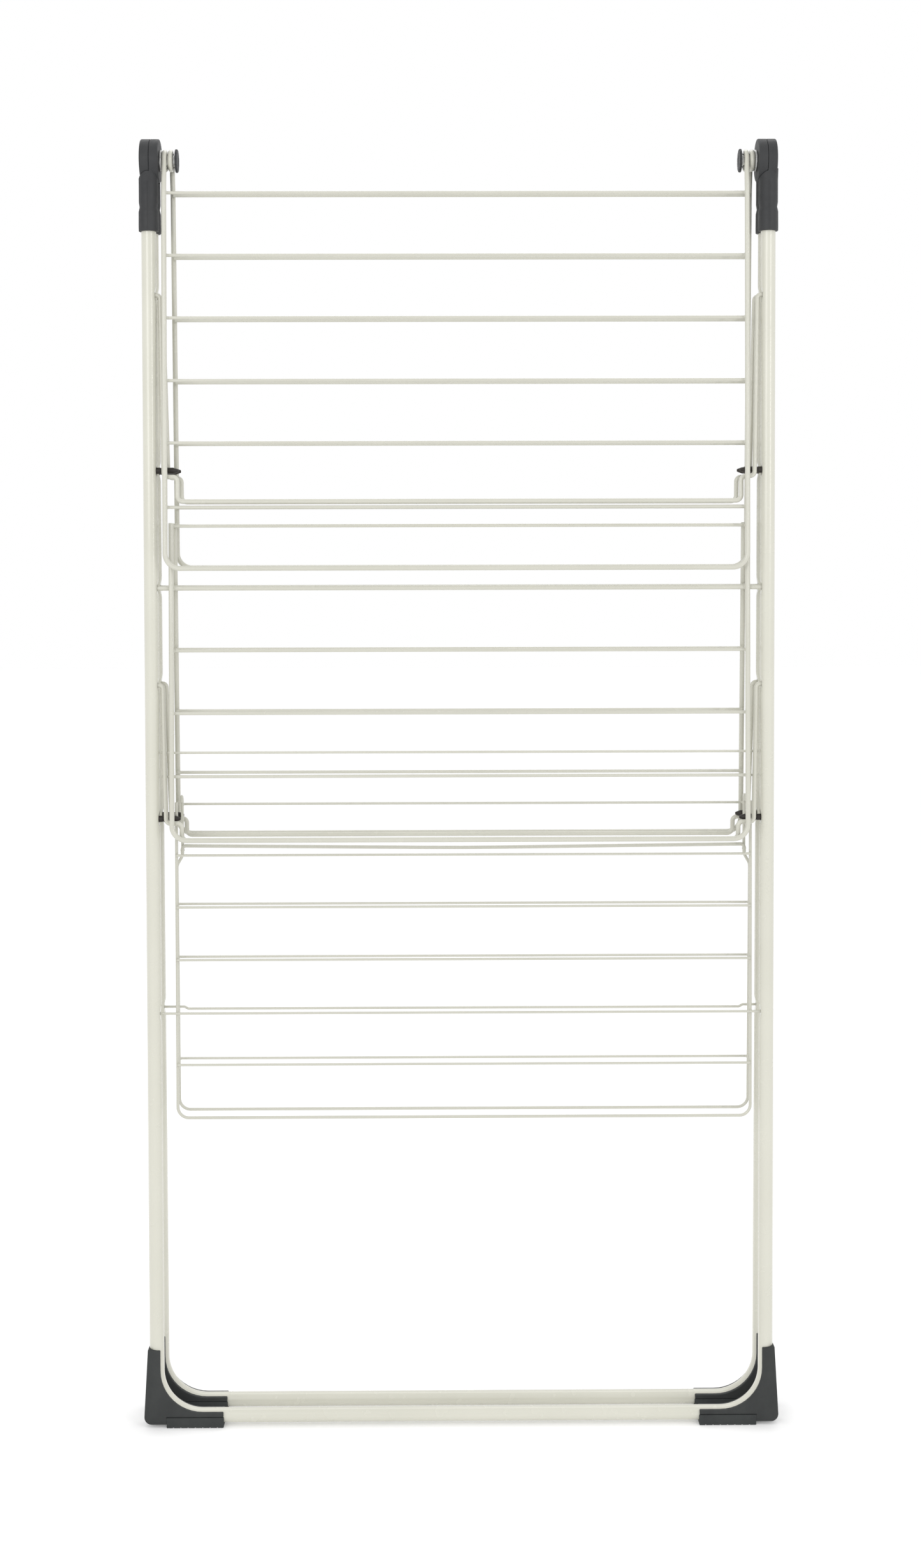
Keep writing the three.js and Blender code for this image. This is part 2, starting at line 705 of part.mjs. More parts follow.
function addAxles(upright) {
  for (const [end, where] of [[-1, 'left'], [1, 'right']]) {
    upright.add(piece(`axle_${where}`, axle(end), zincSteel()));
    upright.add(piece(`axle_cap_${where}`, axleCap(end), darkPlastic()));
  }
}

function addWing(upright, side) {
  upright.add(piece(`${side}_wing_frame`, wingFrame(), coatedSteel()));
  WING_WIRE_HEIGHTS.forEach((height, i) => {
    upright.add(piece(`${side}_wing_wire_${i + 1}`, wingWire(height), coatedSteel()));
  });
}

function addMidPanel(upright, side) {
  const panel = pivotGroup(MID_PIVOT_HEIGHT, -MID_LEAN);
  panel.add(piece(`${side}_mid_frame`, midPanelFrame(), coatedSteel()));
  MID_WIRE_HEIGHTS.forEach((height, i) => {
    panel.add(piece(`${side}_mid_wire_${i + 1}`, midPanelWire(height), coatedSteel()));
  });
  upright.add(panel);
}

function addLowFrontPanel(upright) {
  const panel = pivotGroup(LOW_PIVOT_HEIGHT, -LOW_LEAN);
  panel.add(piece('front_low_frame', lowFrontFrame(), coatedSteel()));
  LOW_FRONT.wireHeights.forEach((height, i) => {
    const wire = lowPanelWire(height, LOW_FRONT.left, LOW_FRONT.right);
    panel.add(piece(`front_low_wire_${i + 1}`, wire, coatedSteel()));
  });
  upright.add(panel);
}

function addLowRearPanel(upright) {
  const panel = pivotGroup(LOW_PIVOT_HEIGHT, -LOW_LEAN);
  panel.add(piece('rear_low_frame', lowRearFrame(), coatedSteel()));
  LOW_REAR.wireHeights.forEach((height, i) => {
    const spread = i === 0 ? 0 : LOW_REAR.jogStep;
    const wire = lowPanelWire(height, LOW_REAR.left - spread, LOW_REAR.right + spread);
    panel.add(piece(`rear_low_wire_${i + 1}`, wire, coatedSteel()));
  });
  upright.add(panel);
}

function addStays(upright, side, isRear) {
  const leanOf = (sizes) => Math.atan(STAY_CLEAR_OF_PEG / (sizes.pivot - sizes.peg));
  const upper = pivotGroup(UPPER_STAY.pivot, -leanOf(UPPER_STAY));
  upper.add(piece(`${side}_upper_stay`, stay(UPPER_STAY, []), coatedSteel()));
  const lower = pivotGroup(LOWER_STAY.pivot, -leanOf(LOWER_STAY));
  const wires = isRear ? [] : LOWER_STAY_WIRES;
  lower.add(piece(`${side}_lower_stay`, stay(LOWER_STAY, wires), coatedSteel()));
  upright.add(upper, lower);
}

function dryingRack() {
  const rack = new THREE.Group();
  for (const isRear of [false, true]) {
    const side = isRear ? 'rear' : 'front';
    const { turned, upright } = legSide(isRear);
    addLegParts(upright, side, isRear);
    addWing(upright, side);
    addMidPanel(upright, side);
    addStays(upright, side, isRear);
    if (isRear) {
      addLowRearPanel(upright);
    } else {
      addLowFrontPanel(upright);
      addAxles(upright);
    }
    rack.add(turned);
  }
  return rack;
}

const group = dryingRack();
export default group;
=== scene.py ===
"""The looks of a folding clothes drying rack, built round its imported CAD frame.

Shapes are drawn in millimetres along the upright legs, as the rack is designed, and are placed in
the row frame in metres. Pivots, wires and pads take their places from the frame, and the other
sizes are named below. X runs along the axles. A name that ends in OUT, and the first number of a
knee or shin, is a distance outwards from the plane of the axles.
"""

import json
import math

import bpy
import bmesh
from mathutils import Matrix, Vector


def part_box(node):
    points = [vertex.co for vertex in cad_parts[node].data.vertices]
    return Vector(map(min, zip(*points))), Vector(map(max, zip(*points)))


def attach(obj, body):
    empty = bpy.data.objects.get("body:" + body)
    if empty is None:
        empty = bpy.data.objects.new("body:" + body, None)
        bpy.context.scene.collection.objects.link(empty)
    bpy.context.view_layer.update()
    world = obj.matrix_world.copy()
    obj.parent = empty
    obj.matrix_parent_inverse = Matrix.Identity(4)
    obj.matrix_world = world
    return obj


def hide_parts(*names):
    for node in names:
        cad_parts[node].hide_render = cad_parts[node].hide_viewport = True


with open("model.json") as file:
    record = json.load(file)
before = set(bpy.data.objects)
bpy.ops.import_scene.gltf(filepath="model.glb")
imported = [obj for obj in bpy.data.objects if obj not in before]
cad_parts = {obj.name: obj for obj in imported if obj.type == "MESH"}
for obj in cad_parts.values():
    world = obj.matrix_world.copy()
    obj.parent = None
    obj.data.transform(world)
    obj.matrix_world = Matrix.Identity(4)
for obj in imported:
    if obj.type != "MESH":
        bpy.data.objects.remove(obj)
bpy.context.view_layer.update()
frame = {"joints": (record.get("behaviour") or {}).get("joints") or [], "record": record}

# ---------------------------------------------------------------- sizes, in millimetres

MM = 0.001
GAP = 0.3
FREE_FIT = 0.45
SNUG_FIT = 0.4
LEG_LEAN = math.radians(0.53)
MID_LEAN = math.radians(1.85)
LOW_LEAN = math.radians(0.8)

# how far a cutter reaches past the solid that it cuts
CUTTER_REACH = 20
CUTTER_MARGIN = 5
CUTTER_LIP = 1

TUBE_RADIUS = 8
TUBE_WALL = 1.2
TUBE_X = 334
TUBE_OUT = 9
TUBE_TOP = 1352.5
RAIL_HEIGHT = 10.5
LEG_BEND = 50.5
DIMPLE_DEPTH = 2
DIMPLE_RADIUS = 19
DIMPLE_SPAN = 13
DIMPLE_REACH = 4
DIMPLE_SOFTNESS = 0.5
HOLE_START_X = 320

ROD_RADIUS = 2.75
STAY_RADIUS = 2.5
WIRE_RADIUS = 1.75
LIGHT_ROD_RADIUS = 1.65
LIGHT_WIRE_RADIUS = 1.35
CATCH_RADIUS = 1.9
ROD_END_X = 331
ROD_EDGE = 0.35
WIRE_EDGE = 0.4

WELD_BITE = 0.5
LIGHT_WELD_BITE = 0.4
# a weld's half length, depth and height for its size, and those of a wire's end for its radius
WELD_SHAPE = (1.25, 0.8, 1.25)
WIRE_WELD_LENGTH = 1.55
WIRE_WELD_HEIGHT = 1.3
WIRE_WELD_DEPTH = 1.15
WIRE_WELD_INSET = 0.7
MID_WELD = 2.9
LOW_WELD = 1.7
CATCH_WELD = 1.9
STAY_WELD = 1.8

KNUCKLE_RADIUS = 23.2
KNUCKLE_INNER_X = 322.6
KNUCKLE_OUTER_X = 342.6
KNUCKLE_SPLIT_X = 332.3
KNUCKLE_EDGE = 1.5
KNUCKLE_SPLIT_EDGE = 0.6
KNUCKLE_CLEARANCE = 0.8
SLEEVE_BOTTOM = 1302.4
SLEEVE_WAIST = 1328.3
SLEEVE_TOP = 1369
MOULD_LINE_RADIUS = 0.55
MOULD_LINE_EDGE = 0.2
AXLE_RADIUS = 6.1
AXLE_TIP_X = 338.6
AXLE_TIP_ROOM = 0.5
AXLE_SEAT_DEPTH = 1
WASHER_RADIUS = 11.5
CAP_INNER_X = 303.1
CAP_OUTER_X = 305.6
CAP_RADIUS = 12.5
CAP_BORE_DEPTH = 1.3
CAP_DISH_RADIUS = 5
CAP_DISH_DEPTH = 0.5
CAP_DISH_SLOPE = 1.2
CAP_CHAMFER = 0.7
CAP_RIM_WIDTH = 1.6
CAP_RIM_BACK = 0.8
CAP_NOTCHES = 12
CAP_NOTCH_DEPTH = 0.9
CAP_NOTCH_SHARPNESS = 6
EYE_RADIUS = 9.25
EYE_TURN = math.radians(283)
EYE_STEPS = 44
OUTER_EYE_X = 317
INNER_EYE_X = 310.6

WING_RAIL_HEIGHT = 940
WING_RAIL_OUT = 24.5
WING_KNEE = (14.5, 1345)
WING_KNEE_BEND = 80
WING_SHIN = (17.5, 1235)
WING_SHIN_BEND = 900
PANEL_BEND = 16
WING_WIRES = 6
PANEL_WIRES = 4

MID_TOP = 988.7
MID_RAIL = 645.4
MID_ROD_X = 312

LOW_RAIL = 339.4
LOW_BEND = 12
LOW_ROD_Y = LIGHT_ROD_RADIUS + LIGHT_WIRE_RADIUS - LIGHT_WELD_BITE
LOW_FRONT_X = (-309.4, 317)
LOW_FRONT_TOP = 685.2
LOW_REAR_X = (-313, 305.4)
LOW_JOG_TOP = 624
LOW_JOG_BOTTOM = 613
LOW_JOG_STEP = 6.4
LOW_HOOK_CREST = 689.7
LOW_HOOK_RADIUS = 3.6
LOW_HOOK_BEND = LOW_HOOK_RADIUS * 0.99
LOW_HOOK_TIP = 2.5
LOW_PIVOT_DROP = 2.3
LOW_PIVOT_STEP = 4
LOW_PIVOT_BEND = 3
CATCH_HEIGHT = 635
CATCH_BOW = 3
CATCH_BOW_BEND = 4000
CATCH_END_BEND = 4
CATCH_END_DROP = 9
CATCH_WELD_DROP = 5

UPPER_STAY = {"peg": 1045.5, "shoulder": 1038.4, "bar": 1011.9, "inner_x": 304.5}
LOWER_STAY = {"peg": 667.8, "shoulder": 663.2, "bar": 644.7, "inner_x": 302}
LOWER_STAY_WIRES = (739.8, 713.8)
STAY_WIRE_END_X = 324.8
STAY_WELD_INSET = 1.3
STAY_TOP_X = 322.4
STAY_TOP_BEND = 4.2
STAY_PEG_X = 319
STAY_CLEAR_OF_PEG = 6.6
STAY_SHOULDER_BEND = 5
STAY_BAR_BEND = 6

PEG_RADIUS = 3.5
PEG_ROOT_X = 329.3
PEG_TIP_X = 304
PEG_TIP_RADIUS = 1.4
PEG_NOSE_LENGTH = 5.5
PEG_GROOVE_DEPTH = 0.35
PEG_GROOVE_START = 7.2
PEG_GROOVE_END = 5.9
PEG_GROOVE_SLOPE = 0.3

FOOT_TOP = 85
FOOT_TOP_RISE = 1.8
FOOT_WALL_TOP_X = 343
FOOT_WALL_BASE_X = 347.8
FOOT_CORNER = 8
FOOT_ARM_END_X = 261
FOOT_SHELL_BOTTOM = 3.4
FOOT_LIP_X = 329.5
FOOT_LIP_HEIGHT = 16.2
FOOT_LIP_BEND = 45.8
FOOT_HALF_DEPTH = 10
FOOT_EDGE = 0.9
PAD_INNER_X = 260.5
PAD_OUTER_X = 323
PAD_TOP = 11.3
PAD_HALF_DEPTH = 10.6
PAD_EDGE = 0.7
PAD_LINE_DEPTH = 1.1
PAD_LINE_BELOW = 0.6
PAD_LINE_ABOVE = 0.7
PAD_LINE_INNER = 2
PAD_LINE_OUTER = 0.4
TREAD_START = 7
TREAD_STOP = 6
TREAD_PITCH = 8
TREAD_HALF_WIDTH = 0.8
TREAD_DEPTH = 0.9

# how finely round shapes are drawn: sides of a section, and degrees of a bend
TUBE_SIDES = 40
ROD_SIDES = 20
WIRE_SIDES = 16
LATHE_SIDES = 72
KNUCKLE_SIDES = 96
CAP_SIDES = 144
PEG_SIDES = 36
BORE_SIDES = 48
HOLE_SIDES = 32
MOULD_LINE_SIDES = 10
BEND_STEP = 6
TUBE_STEP = 4
LIGHT_BEND_STEP = 9
LATHE_STEP = 15
OUTLINE_STEP = 8
EDGE_STEPS = 4

# the radius at which a turned solid is closed, and the share of a step at which a ball is
AXIS_RADIUS = 0.01
POLE_STEP = 0.02
# the least share of an inset that a sharp corner of an outline keeps
MITRE_LIMIT = 0.4
# the angle over which an edge is drawn sharp
CREASE = math.radians(34)


# ---------------------------------------------------------------- the frame's places


def joint_place(name):
    for joint in frame["joints"]:
        if joint["name"] == name:
            return Vector(joint["pos_m"])
    raise ValueError("no joint named " + name)


AXLE_HEIGHT = joint_place("legs_fold").z / MM
ROW_FRAME = Matrix.Scale(MM, 4)


def leg_matrix(side):
    """From heights along one upright leg frame, in millimetres, to its leaning place in metres."""
    facing = Matrix.Rotation(math.pi if side == "rear" else 0, 4, "Z")
    up = Matrix.Translation((0, 0, AXLE_HEIGHT))
    down = Matrix.Translation((0, 0, -AXLE_HEIGHT))
    return ROW_FRAME @ facing @ up @ Matrix.Rotation(-LEG_LEAN, 4, "X") @ down


LEGS = {side: leg_matrix(side) for side in ("front", "rear")}
# the way along Y from the middle of the rack to each set
OUTWARD = {"front": -1, "rear": 1}


def pivot_height(joint):
    return (LEGS["front"].inverted() @ joint_place(f"front_{joint}")).z


PIVOTS = {
    "upper_stay": pivot_height("upper_stay_swing"),
    "mid": pivot_height("mid_panel_swing"),
    "lower_stay": pivot_height("lower_stay_swing"),
    "low": pivot_height("low_panel_swing"),
}


def pivot_matrix(side, name, lean):
    """The place of a part that hangs from a pivot and leans out from its legs."""
    place = Matrix.Translation((0, -TUBE_OUT, PIVOTS[name]))
    return LEGS[side] @ place @ Matrix.Rotation(-lean, 4, "X")


def side_name(side, end):
    """Left or right as the rack is seen from the front; the rear set is turned half round."""
    return "left" if (end < 0) == (side == "front") else "right"


# ---------------------------------------------------------------- lines and solids


def bent(corners, step=BEND_STEP):
    """Points along a line through corners given as (x, y, z) or (x, y, z, bend radius)."""
    spots = [Vector(corner[:3]) for corner in corners]
    points = [spots[0]]
    for i in range(1, len(spots) - 1):
        radius = corners[i][3] if len(corners[i]) > 3 else 0
        if not radius:
            points.append(spots[i])
            continue
        to_last = (spots[i - 1] - spots[i]).normalized()
        to_next = (spots[i + 1] - spots[i]).normalized()
        inside = to_last.angle(to_next)
        turn = math.pi - inside
        centre = spots[i] + (to_last + to_next).normalized() * radius / math.sin(inside / 2)
        start = spots[i] + to_last * radius * math.tan(turn / 2) - centre
        axis = to_next.cross(to_last).normalized()
        steps = max(2, math.ceil(math.degrees(turn) / step))
        for k in range(steps + 1):
            points.append(Matrix.Rotation(turn * k / steps, 3, axis) @ start + centre)
    points.append(spots[-1])
    return points


def tangents(points):
    result = []
    for i in range(len(points)):
        arriving = (points[i] - points[max(i - 1, 0)]).normalized()
        leaving = (points[min(i + 1, len(points) - 1)] - points[i]).normalized()
        result.append((arriving + leaving).normalized())
    return result


def new_solid(verts, faces, matrix):
    """A closed mesh object with its faces turned outwards."""
    data = bpy.data.meshes.new("solid")
    data.from_pydata([matrix @ Vector(v) for v in verts], [], faces)
    mesh = bmesh.new()
    mesh.from_mesh(data)
    bmesh.ops.recalc_face_normals(mesh, faces=mesh.faces)
    mesh.to_mesh(data)
    mesh.free()
    solid = bpy.data.objects.new("solid", data)
    bpy.context.scene.collection.objects.link(solid)
    return solid


def ring_solid(rings, matrix):
    """A solid through rings of the same number of points, closed by a flat face at each end."""
    count = len(rings[0])
    verts = [point for ring in rings for point in ring]
    faces = []
    for i in range(len(rings) - 1):
        for k in range(count):
            here, beside = i * count + k, i * count + (k + 1) % count
            faces.append((here, beside, beside + count, here + count))
    last = (len(rings) - 1) * count
    faces.append(tuple(range(count)))
    faces.append(tuple(range(last, last + count)))
    return new_solid(verts, faces, matrix)


def rod(points, radius, sides, matrix, edge=ROD_EDGE, shape=None):
    """A round rod along points, with chamfered ends. The shape function may move its points."""
    along = tangents(points)
    side = along[0].orthogonal().normalized()
    stations = []
    for i, point in enumerate(points):
        if i:
            side = along[i - 1].rotation_difference(along[i]) @ side
            side = (side - along[i] * side.dot(along[i])).normalized()
        stations.append((point, along[i], side.copy(), radius))
    if edge:
        first, last = stations[0], stations[-1]
        stations[0] = (first[0], first[1], first[2], radius - edge)
        stations.insert(1, (first[0] + first[1] * edge, first[1], first[2], radius))
        stations[-1] = (last[0] - last[1] * edge, last[1], last[2], radius)
        stations.append((last[0], last[1], last[2], radius - edge))
    rings = []
    for point, direction, side, size in stations:
        other = direction.cross(side)
        ring = []
        for k in range(sides):
            angle = 2 * math.pi * k / sides
            ring.append(point + (side * math.cos(angle) + other * math.sin(angle)) * size)
        rings.append([shape(v) for v in ring] if shape else ring)
    return ring_solid(rings, matrix)


def straight(start, end, radius, sides, matrix, edge=ROD_EDGE):
    return rod([Vector(start), Vector(end)], radius, sides, matrix, edge)


def turned(outline, place, axis, matrix, end=1, sides=LATHE_SIDES, edge_shape=None):
    """A solid turned about X or Z from (along, radius) corners with an optional fillet radius."""
    profile = [(outline[0][0], AXIS_RADIUS), *outline, (outline[-1][0], AXIS_RADIUS)]
    line = bent([(c[0], c[1], 0, *c[2:]) for c in profile], LATHE_STEP)
    rings = []
    for point in line:
        ring = []
        for k in range(sides):
            angle = 2 * math.pi * k / sides
            radius = edge_shape(point.x, point.y, angle) if edge_shape else point.y
            across, up = radius * math.cos(angle), radius * math.sin(angle)
            if axis == "X":
                ring.append(Vector(place) + Vector((end * point.x, across, up)))
            else:
                ring.append(Vector(place) + Vector((across, up, point.x)))
        rings.append(ring)
    return ring_solid(rings, matrix)


def extruded(outline, middle, half_depth, round_edge, matrix, end=1):
    """An (x, z) outline with fillets, drawn out along Y with rounded edges on both faces."""
    line = bent([(c[0], 0, c[1], *c[2:]) for c in outline + outline[:1]], OUTLINE_STEP)[:-1]
    count = len(line)
    inward = []
    for i in range(count):
        arriving = (line[i] - line[i - 1]).normalized()
        leaving = (line[(i + 1) % count] - line[i]).normalized()
        normal = Vector((-arriving.z - leaving.z, 0, arriving.x + leaving.x)).normalized()
        square = Vector((-arriving.z, 0, arriving.x))
        inward.append(normal / max(normal.dot(square), MITRE_LIMIT))
    area = sum(line[i - 1].x * line[i].z - line[i].x * line[i - 1].z for i in range(count))
    turn_in = 1 if area > 0 else -1
    layers = []
    for k in range(EDGE_STEPS + 1):
        angle = math.pi / 2 * k / EDGE_STEPS
        layers.append((round_edge * (1 - math.sin(angle)), round_edge * (1 - math.cos(angle))))
    depths = [(-half_depth + y, inset) for inset, y in layers]
    depths += [(half_depth - y, inset) for inset, y in reversed(layers)]
    rings = []
    for y, inset in depths:
        ring = [p + n * inset * turn_in for p, n in zip(line, inward)]
        rings.append([Vector((end * p.x, middle + y, p.z)) for p in ring])
    return ring_solid(rings, matrix)


def ball(centre, radii, matrix, steps=7, sides=14):
    """An ellipsoid with a very small flat at each pole."""
    rings = []
    for i in range(steps + 1):
        tilt = math.pi * min(max(i, POLE_STEP), steps - POLE_STEP) / steps
        ring = []
        for k in range(sides):
            angle = 2 * math.pi * k / sides
            x, y = math.sin(tilt) * math.cos(angle), math.sin(tilt) * math.sin(angle)
            away = Vector((x * radii[0], y * radii[1], math.cos(tilt) * radii[2]))
            ring.append(Vector(centre) + away)
        rings.append(ring)
    return ring_solid(rings, matrix)


def block(low, high, matrix):
    (x0, y0, z0), (x1, y1, z1) = low, high
    ring = [(x0, y0), (x1, y0), (x1, y1), (x0, y1)]
    return ring_solid([[Vector((x, y, z)) for x, y in ring] for z in (z0, z1)], matrix)


def combine(base, others, operation):
    """Joins others to base, or cuts them from it, and removes them."""
    for other in others:
        modifier = base.modifiers.new("combine", "BOOLEAN")
        modifier.operation = operation
        modifier.solver = "MANIFOLD"
        modifier.object = other
    bpy.context.view_layer.update()
    graph = bpy.context.evaluated_depsgraph_get()
    result = bpy.data.meshes.new_from_object(base.evaluated_get(graph))
    base.modifiers.clear()
    base.data = result
    for other in others:
        bpy.data.objects.remove(other)
    return base


def joined(solids):
    return combine(solids[0], solids[1:], "UNION") if len(solids) > 1 else solids[0]


def cut(base, cutters):
    return combine(base, cutters, "DIFFERENCE")


# ---------------------------------------------------------------- materials

# the part of a noise's range that its values mostly fill
NOISE_SPAN = (0.3, 0.7)

IVORY = ((0.575, 0.568, 0.492), (0.605, 0.598, 0.522))
ZINC = ((0.42, 0.42, 0.41), (0.62, 0.62, 0.60))
HINGE_GREY = ((0.026, 0.027, 0.029), (0.037, 0.038, 0.039))
FOOT_GREY = ((0.024, 0.026, 0.026), (0.034, 0.037, 0.036))
PEG_BLACK = ((0.016, 0.013, 0.010), (0.026, 0.021, 0.017))
PAD_GREY = ((0.028, 0.031, 0.031), (0.038, 0.042, 0.041))
PAPER_WHITE = ((0.82, 0.82, 0.82), (0.84, 0.84, 0.84))


class Finish:
    """A Principled material whose colour, roughness and bump vary over the object's own space."""

    def __init__(self, name):
        self.material = bpy.data.materials.new(name)
        self.material.use_nodes = True
        self.nodes = self.material.node_tree.nodes
        self.links = self.material.node_tree.links
        self.shader = self.nodes["Principled BSDF"]
        self.coordinates = self.nodes.new("ShaderNodeTexCoord")

    def noise(self, scale, detail=3, stretch=None):
        texture = self.nodes.new("ShaderNodeTexNoise")
        texture.inputs["Scale"].default_value = scale
        texture.inputs["Detail"].default_value = detail
        source = self.coordinates.outputs["Object"]
        if stretch:
            mapping = self.nodes.new("ShaderNodeMapping")
            mapping.inputs["Scale"].default_value = stretch
            self.links.new(source, mapping.inputs["Vector"])
            source = mapping.outputs["Vector"]
        self.links.new(source, texture.inputs["Vector"])
        return texture.outputs["Fac"]

    def cells(self, scale):
        texture = self.nodes.new("ShaderNodeTexVoronoi")
        texture.inputs["Scale"].default_value = scale
        self.links.new(self.coordinates.outputs["Object"], texture.inputs["Vector"])
        return texture.outputs["Distance"]

    def colour(self, noise, shades):
        """Runs the base colour from the first shade to the second over a noise."""
        ramp = self.nodes.new("ShaderNodeValToRGB")
        for element, place, shade in zip(ramp.color_ramp.elements, NOISE_SPAN, shades):
            element.position = place
            element.color = (*shade, 1)
        self.links.new(noise, ramp.inputs["Fac"])
        self.links.new(ramp.outputs["Color"], self.shader.inputs["Base Color"])

    def roughness(self, noise, low, high):
        spread = self.nodes.new("ShaderNodeMapRange")
        spread.inputs["From Min"].default_value = NOISE_SPAN[0]
        spread.inputs["From Max"].default_value = NOISE_SPAN[1]
        spread.inputs["To Min"].default_value = low
        spread.inputs["To Max"].default_value = high
        self.links.new(noise, spread.inputs["Value"])
        self.links.new(spread.outputs["Result"], self.shader.inputs["Roughness"])

    def bumps(self, layers):
        """Adds bump layers given as (value, strength, distance in metres)."""
        normal = None
        for value, strength, distance in layers:
            bump = self.nodes.new("ShaderNodeBump")
            bump.inputs["Strength"].default_value = strength
            bump.inputs["Distance"].default_value = distance
            self.links.new(value, bump.inputs["Height"])
            if normal:
                self.links.new(normal, bump.inputs["Normal"])
            normal = bump.outputs["Normal"]
        self.links.new(normal, self.shader.inputs["Normal"])

    def uniform(self, **values):
        for name, value in values.items():
            self.shader.inputs[name.replace("_", " ")].default_value = value


def powder_coat(name, tone, peel_scale, peel_depth):
    """Glossy ivory powder coat with fine orange peel and a faint drift of colour."""
    finish = Finish(name)
    shades = [[channel * tone for channel in shade] for shade in IVORY]
    finish.colour(finish.noise(9, 2), shades)
    finish.roughness(finish.noise(60, 4), 0.22, 0.29)
    finish.bumps([
        (finish.noise(peel_scale, 2), 0.12, peel_depth),
        (finish.noise(90, 2), 0.08, 0.00006),
    ])
    finish.uniform(Specular_IOR_Level=0.5, Coat_Weight=0.5, Coat_Roughness=0.05)
    return finish.material


def moulded_plastic(name, shades, grain_scale, grain_depth, smooth, rough):
    """Injection-moulded plastic with a fine grain and faint flow marks."""
    finish = Finish(name)
    finish.colour(finish.noise(35, 4, (1, 1, 0.35)), shades)
    finish.roughness(finish.noise(140, 4), smooth, rough)
    finish.bumps([
        (finish.cells(grain_scale), 0.5, grain_depth),
        (finish.noise(grain_scale * 0.45, 3), 0.4, grain_depth),
    ])
    finish.uniform(Specular_IOR_Level=0.35)
    return finish.material


def turned_zinc(name):
    """Bright zinc plate over turned steel, with tool rings across the axis."""
    finish = Finish(name)
    finish.colour(finish.noise(220, 4), ZINC)
    finish.roughness(finish.noise(300, 4), 0.25, 0.45)
    finish.bumps([(finish.noise(900, 1, (6, 0.2, 0.2)), 0.4, 0.00005)])
    finish.uniform(Metallic=1)
    return finish.material


def floor_paper(name):
    """Matt white paper that glows a little, so that it stays white as far as it can be seen."""
    finish = Finish(name)
    finish.colour(finish.noise(3, 2), PAPER_WHITE)
    finish.uniform(Roughness=0.8, Specular_IOR_Level=0.1)
    finish.uniform(Emission_Color=(1, 1, 1, 1), Emission_Strength=0.19)
    return finish.material


MATERIALS = {
    "tube_steel": powder_coat("tube_coat", 1, 420, 0.00005),
    "wire_steel": powder_coat("wire_coat", 0.9, 600, 0.00003),
    "stay_steel": powder_coat("stay_coat", 0.92, 550, 0.00003),
    "light_wire_steel": powder_coat("light_wire_coat", 0.88, 700, 0.00002),
    "hinge_plastic": moulded_plastic("hinge_moulding", HINGE_GREY, 2600, 0.00008, 0.48, 0.62),
    "foot_plastic": moulded_plastic("foot_moulding", FOOT_GREY, 2300, 0.0001, 0.5, 0.66),
    "peg_plastic": moulded_plastic("peg_moulding", PEG_BLACK, 3200, 0.00005, 0.35, 0.5),
    "axle_steel": turned_zinc("axle_zinc"),
}
RUBBER = moulded_plastic("pad_rubber", PAD_GREY, 1700, 0.00016, 0.62, 0.8)


def slot_of(node):
    for part in frame["record"]["subparts"]:
        if part["node"] == node:
            return part["material_slot"]
    raise ValueError("no slot for " + node)


def body_of(node):
    for body, nodes in frame["record"]["behaviour"]["bodies"].items():
        if node in nodes:
            return body
    raise ValueError("no body for " + node)


def finish_piece(solid, name, node, material=None):
    """Names a solid, smooths it, gives it its material and puts it in place of a CAD node."""
    solid.name = name
    solid.data.name = name
    solid.data.shade_smooth()
    solid.data.set_sharp_from_angle(angle=CREASE)
    solid.data.materials.clear()
    solid.data.materials.append(material or MATERIALS[slot_of(node)])
    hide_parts(node)
    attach(solid, body_of(node))
    return solid


# ---------------------------------------------------------------- legs

# the height and radius of each hole in the inner side of a leg tube
TUBE_HOLES = [
    (PIVOTS["upper_stay"], STAY_RADIUS + FREE_FIT),
    (UPPER_STAY["peg"], PEG_RADIUS + FREE_FIT),
    (PIVOTS["mid"], ROD_RADIUS + FREE_FIT),
    (PIVOTS["lower_stay"], STAY_RADIUS + FREE_FIT),
    (LOWER_STAY["peg"], PEG_RADIUS + FREE_FIT),
    (PIVOTS["low"], LIGHT_WIRE_RADIUS + SNUG_FIT),
]


def pressed_dimples(radius):
    """Moves the points of a tube as if a ball were pressed into its inner side at each hole."""

    def shape(point):
        end = 1 if point.x > 0 else -1
        ball_x = end * (TUBE_X - TUBE_RADIUS + DIMPLE_DEPTH - DIMPLE_RADIUS)
        for height, _ in TUBE_HOLES:
            centre = Vector((ball_x, -TUBE_OUT, height))
            away = point - centre
            depth = radius - away.length
            if depth < -DIMPLE_REACH:
                continue
            push = (depth + math.sqrt(depth * depth + DIMPLE_SOFTNESS)) / 2
            point = centre + away.normalized() * (away.length + push)
        return point

    return shape


def leg_line():
    """The tube's centre line, with close steps at the dimples."""
    heights = [TUBE_TOP]
    for height, _ in TUBE_HOLES:
        heights += [height + DIMPLE_SPAN - k for k in range(2 * DIMPLE_SPAN + 1)]
    down = [(-TUBE_X, -TUBE_OUT, height) for height in heights]
    up = [(TUBE_X, -TUBE_OUT, height) for height in reversed(heights)]
    corners = [
        (-TUBE_X, -TUBE_OUT, RAIL_HEIGHT, LEG_BEND),
        (TUBE_X, -TUBE_OUT, RAIL_HEIGHT, LEG_BEND),
    ]
    return bent([*down, *corners, *up], TUBE_STEP)


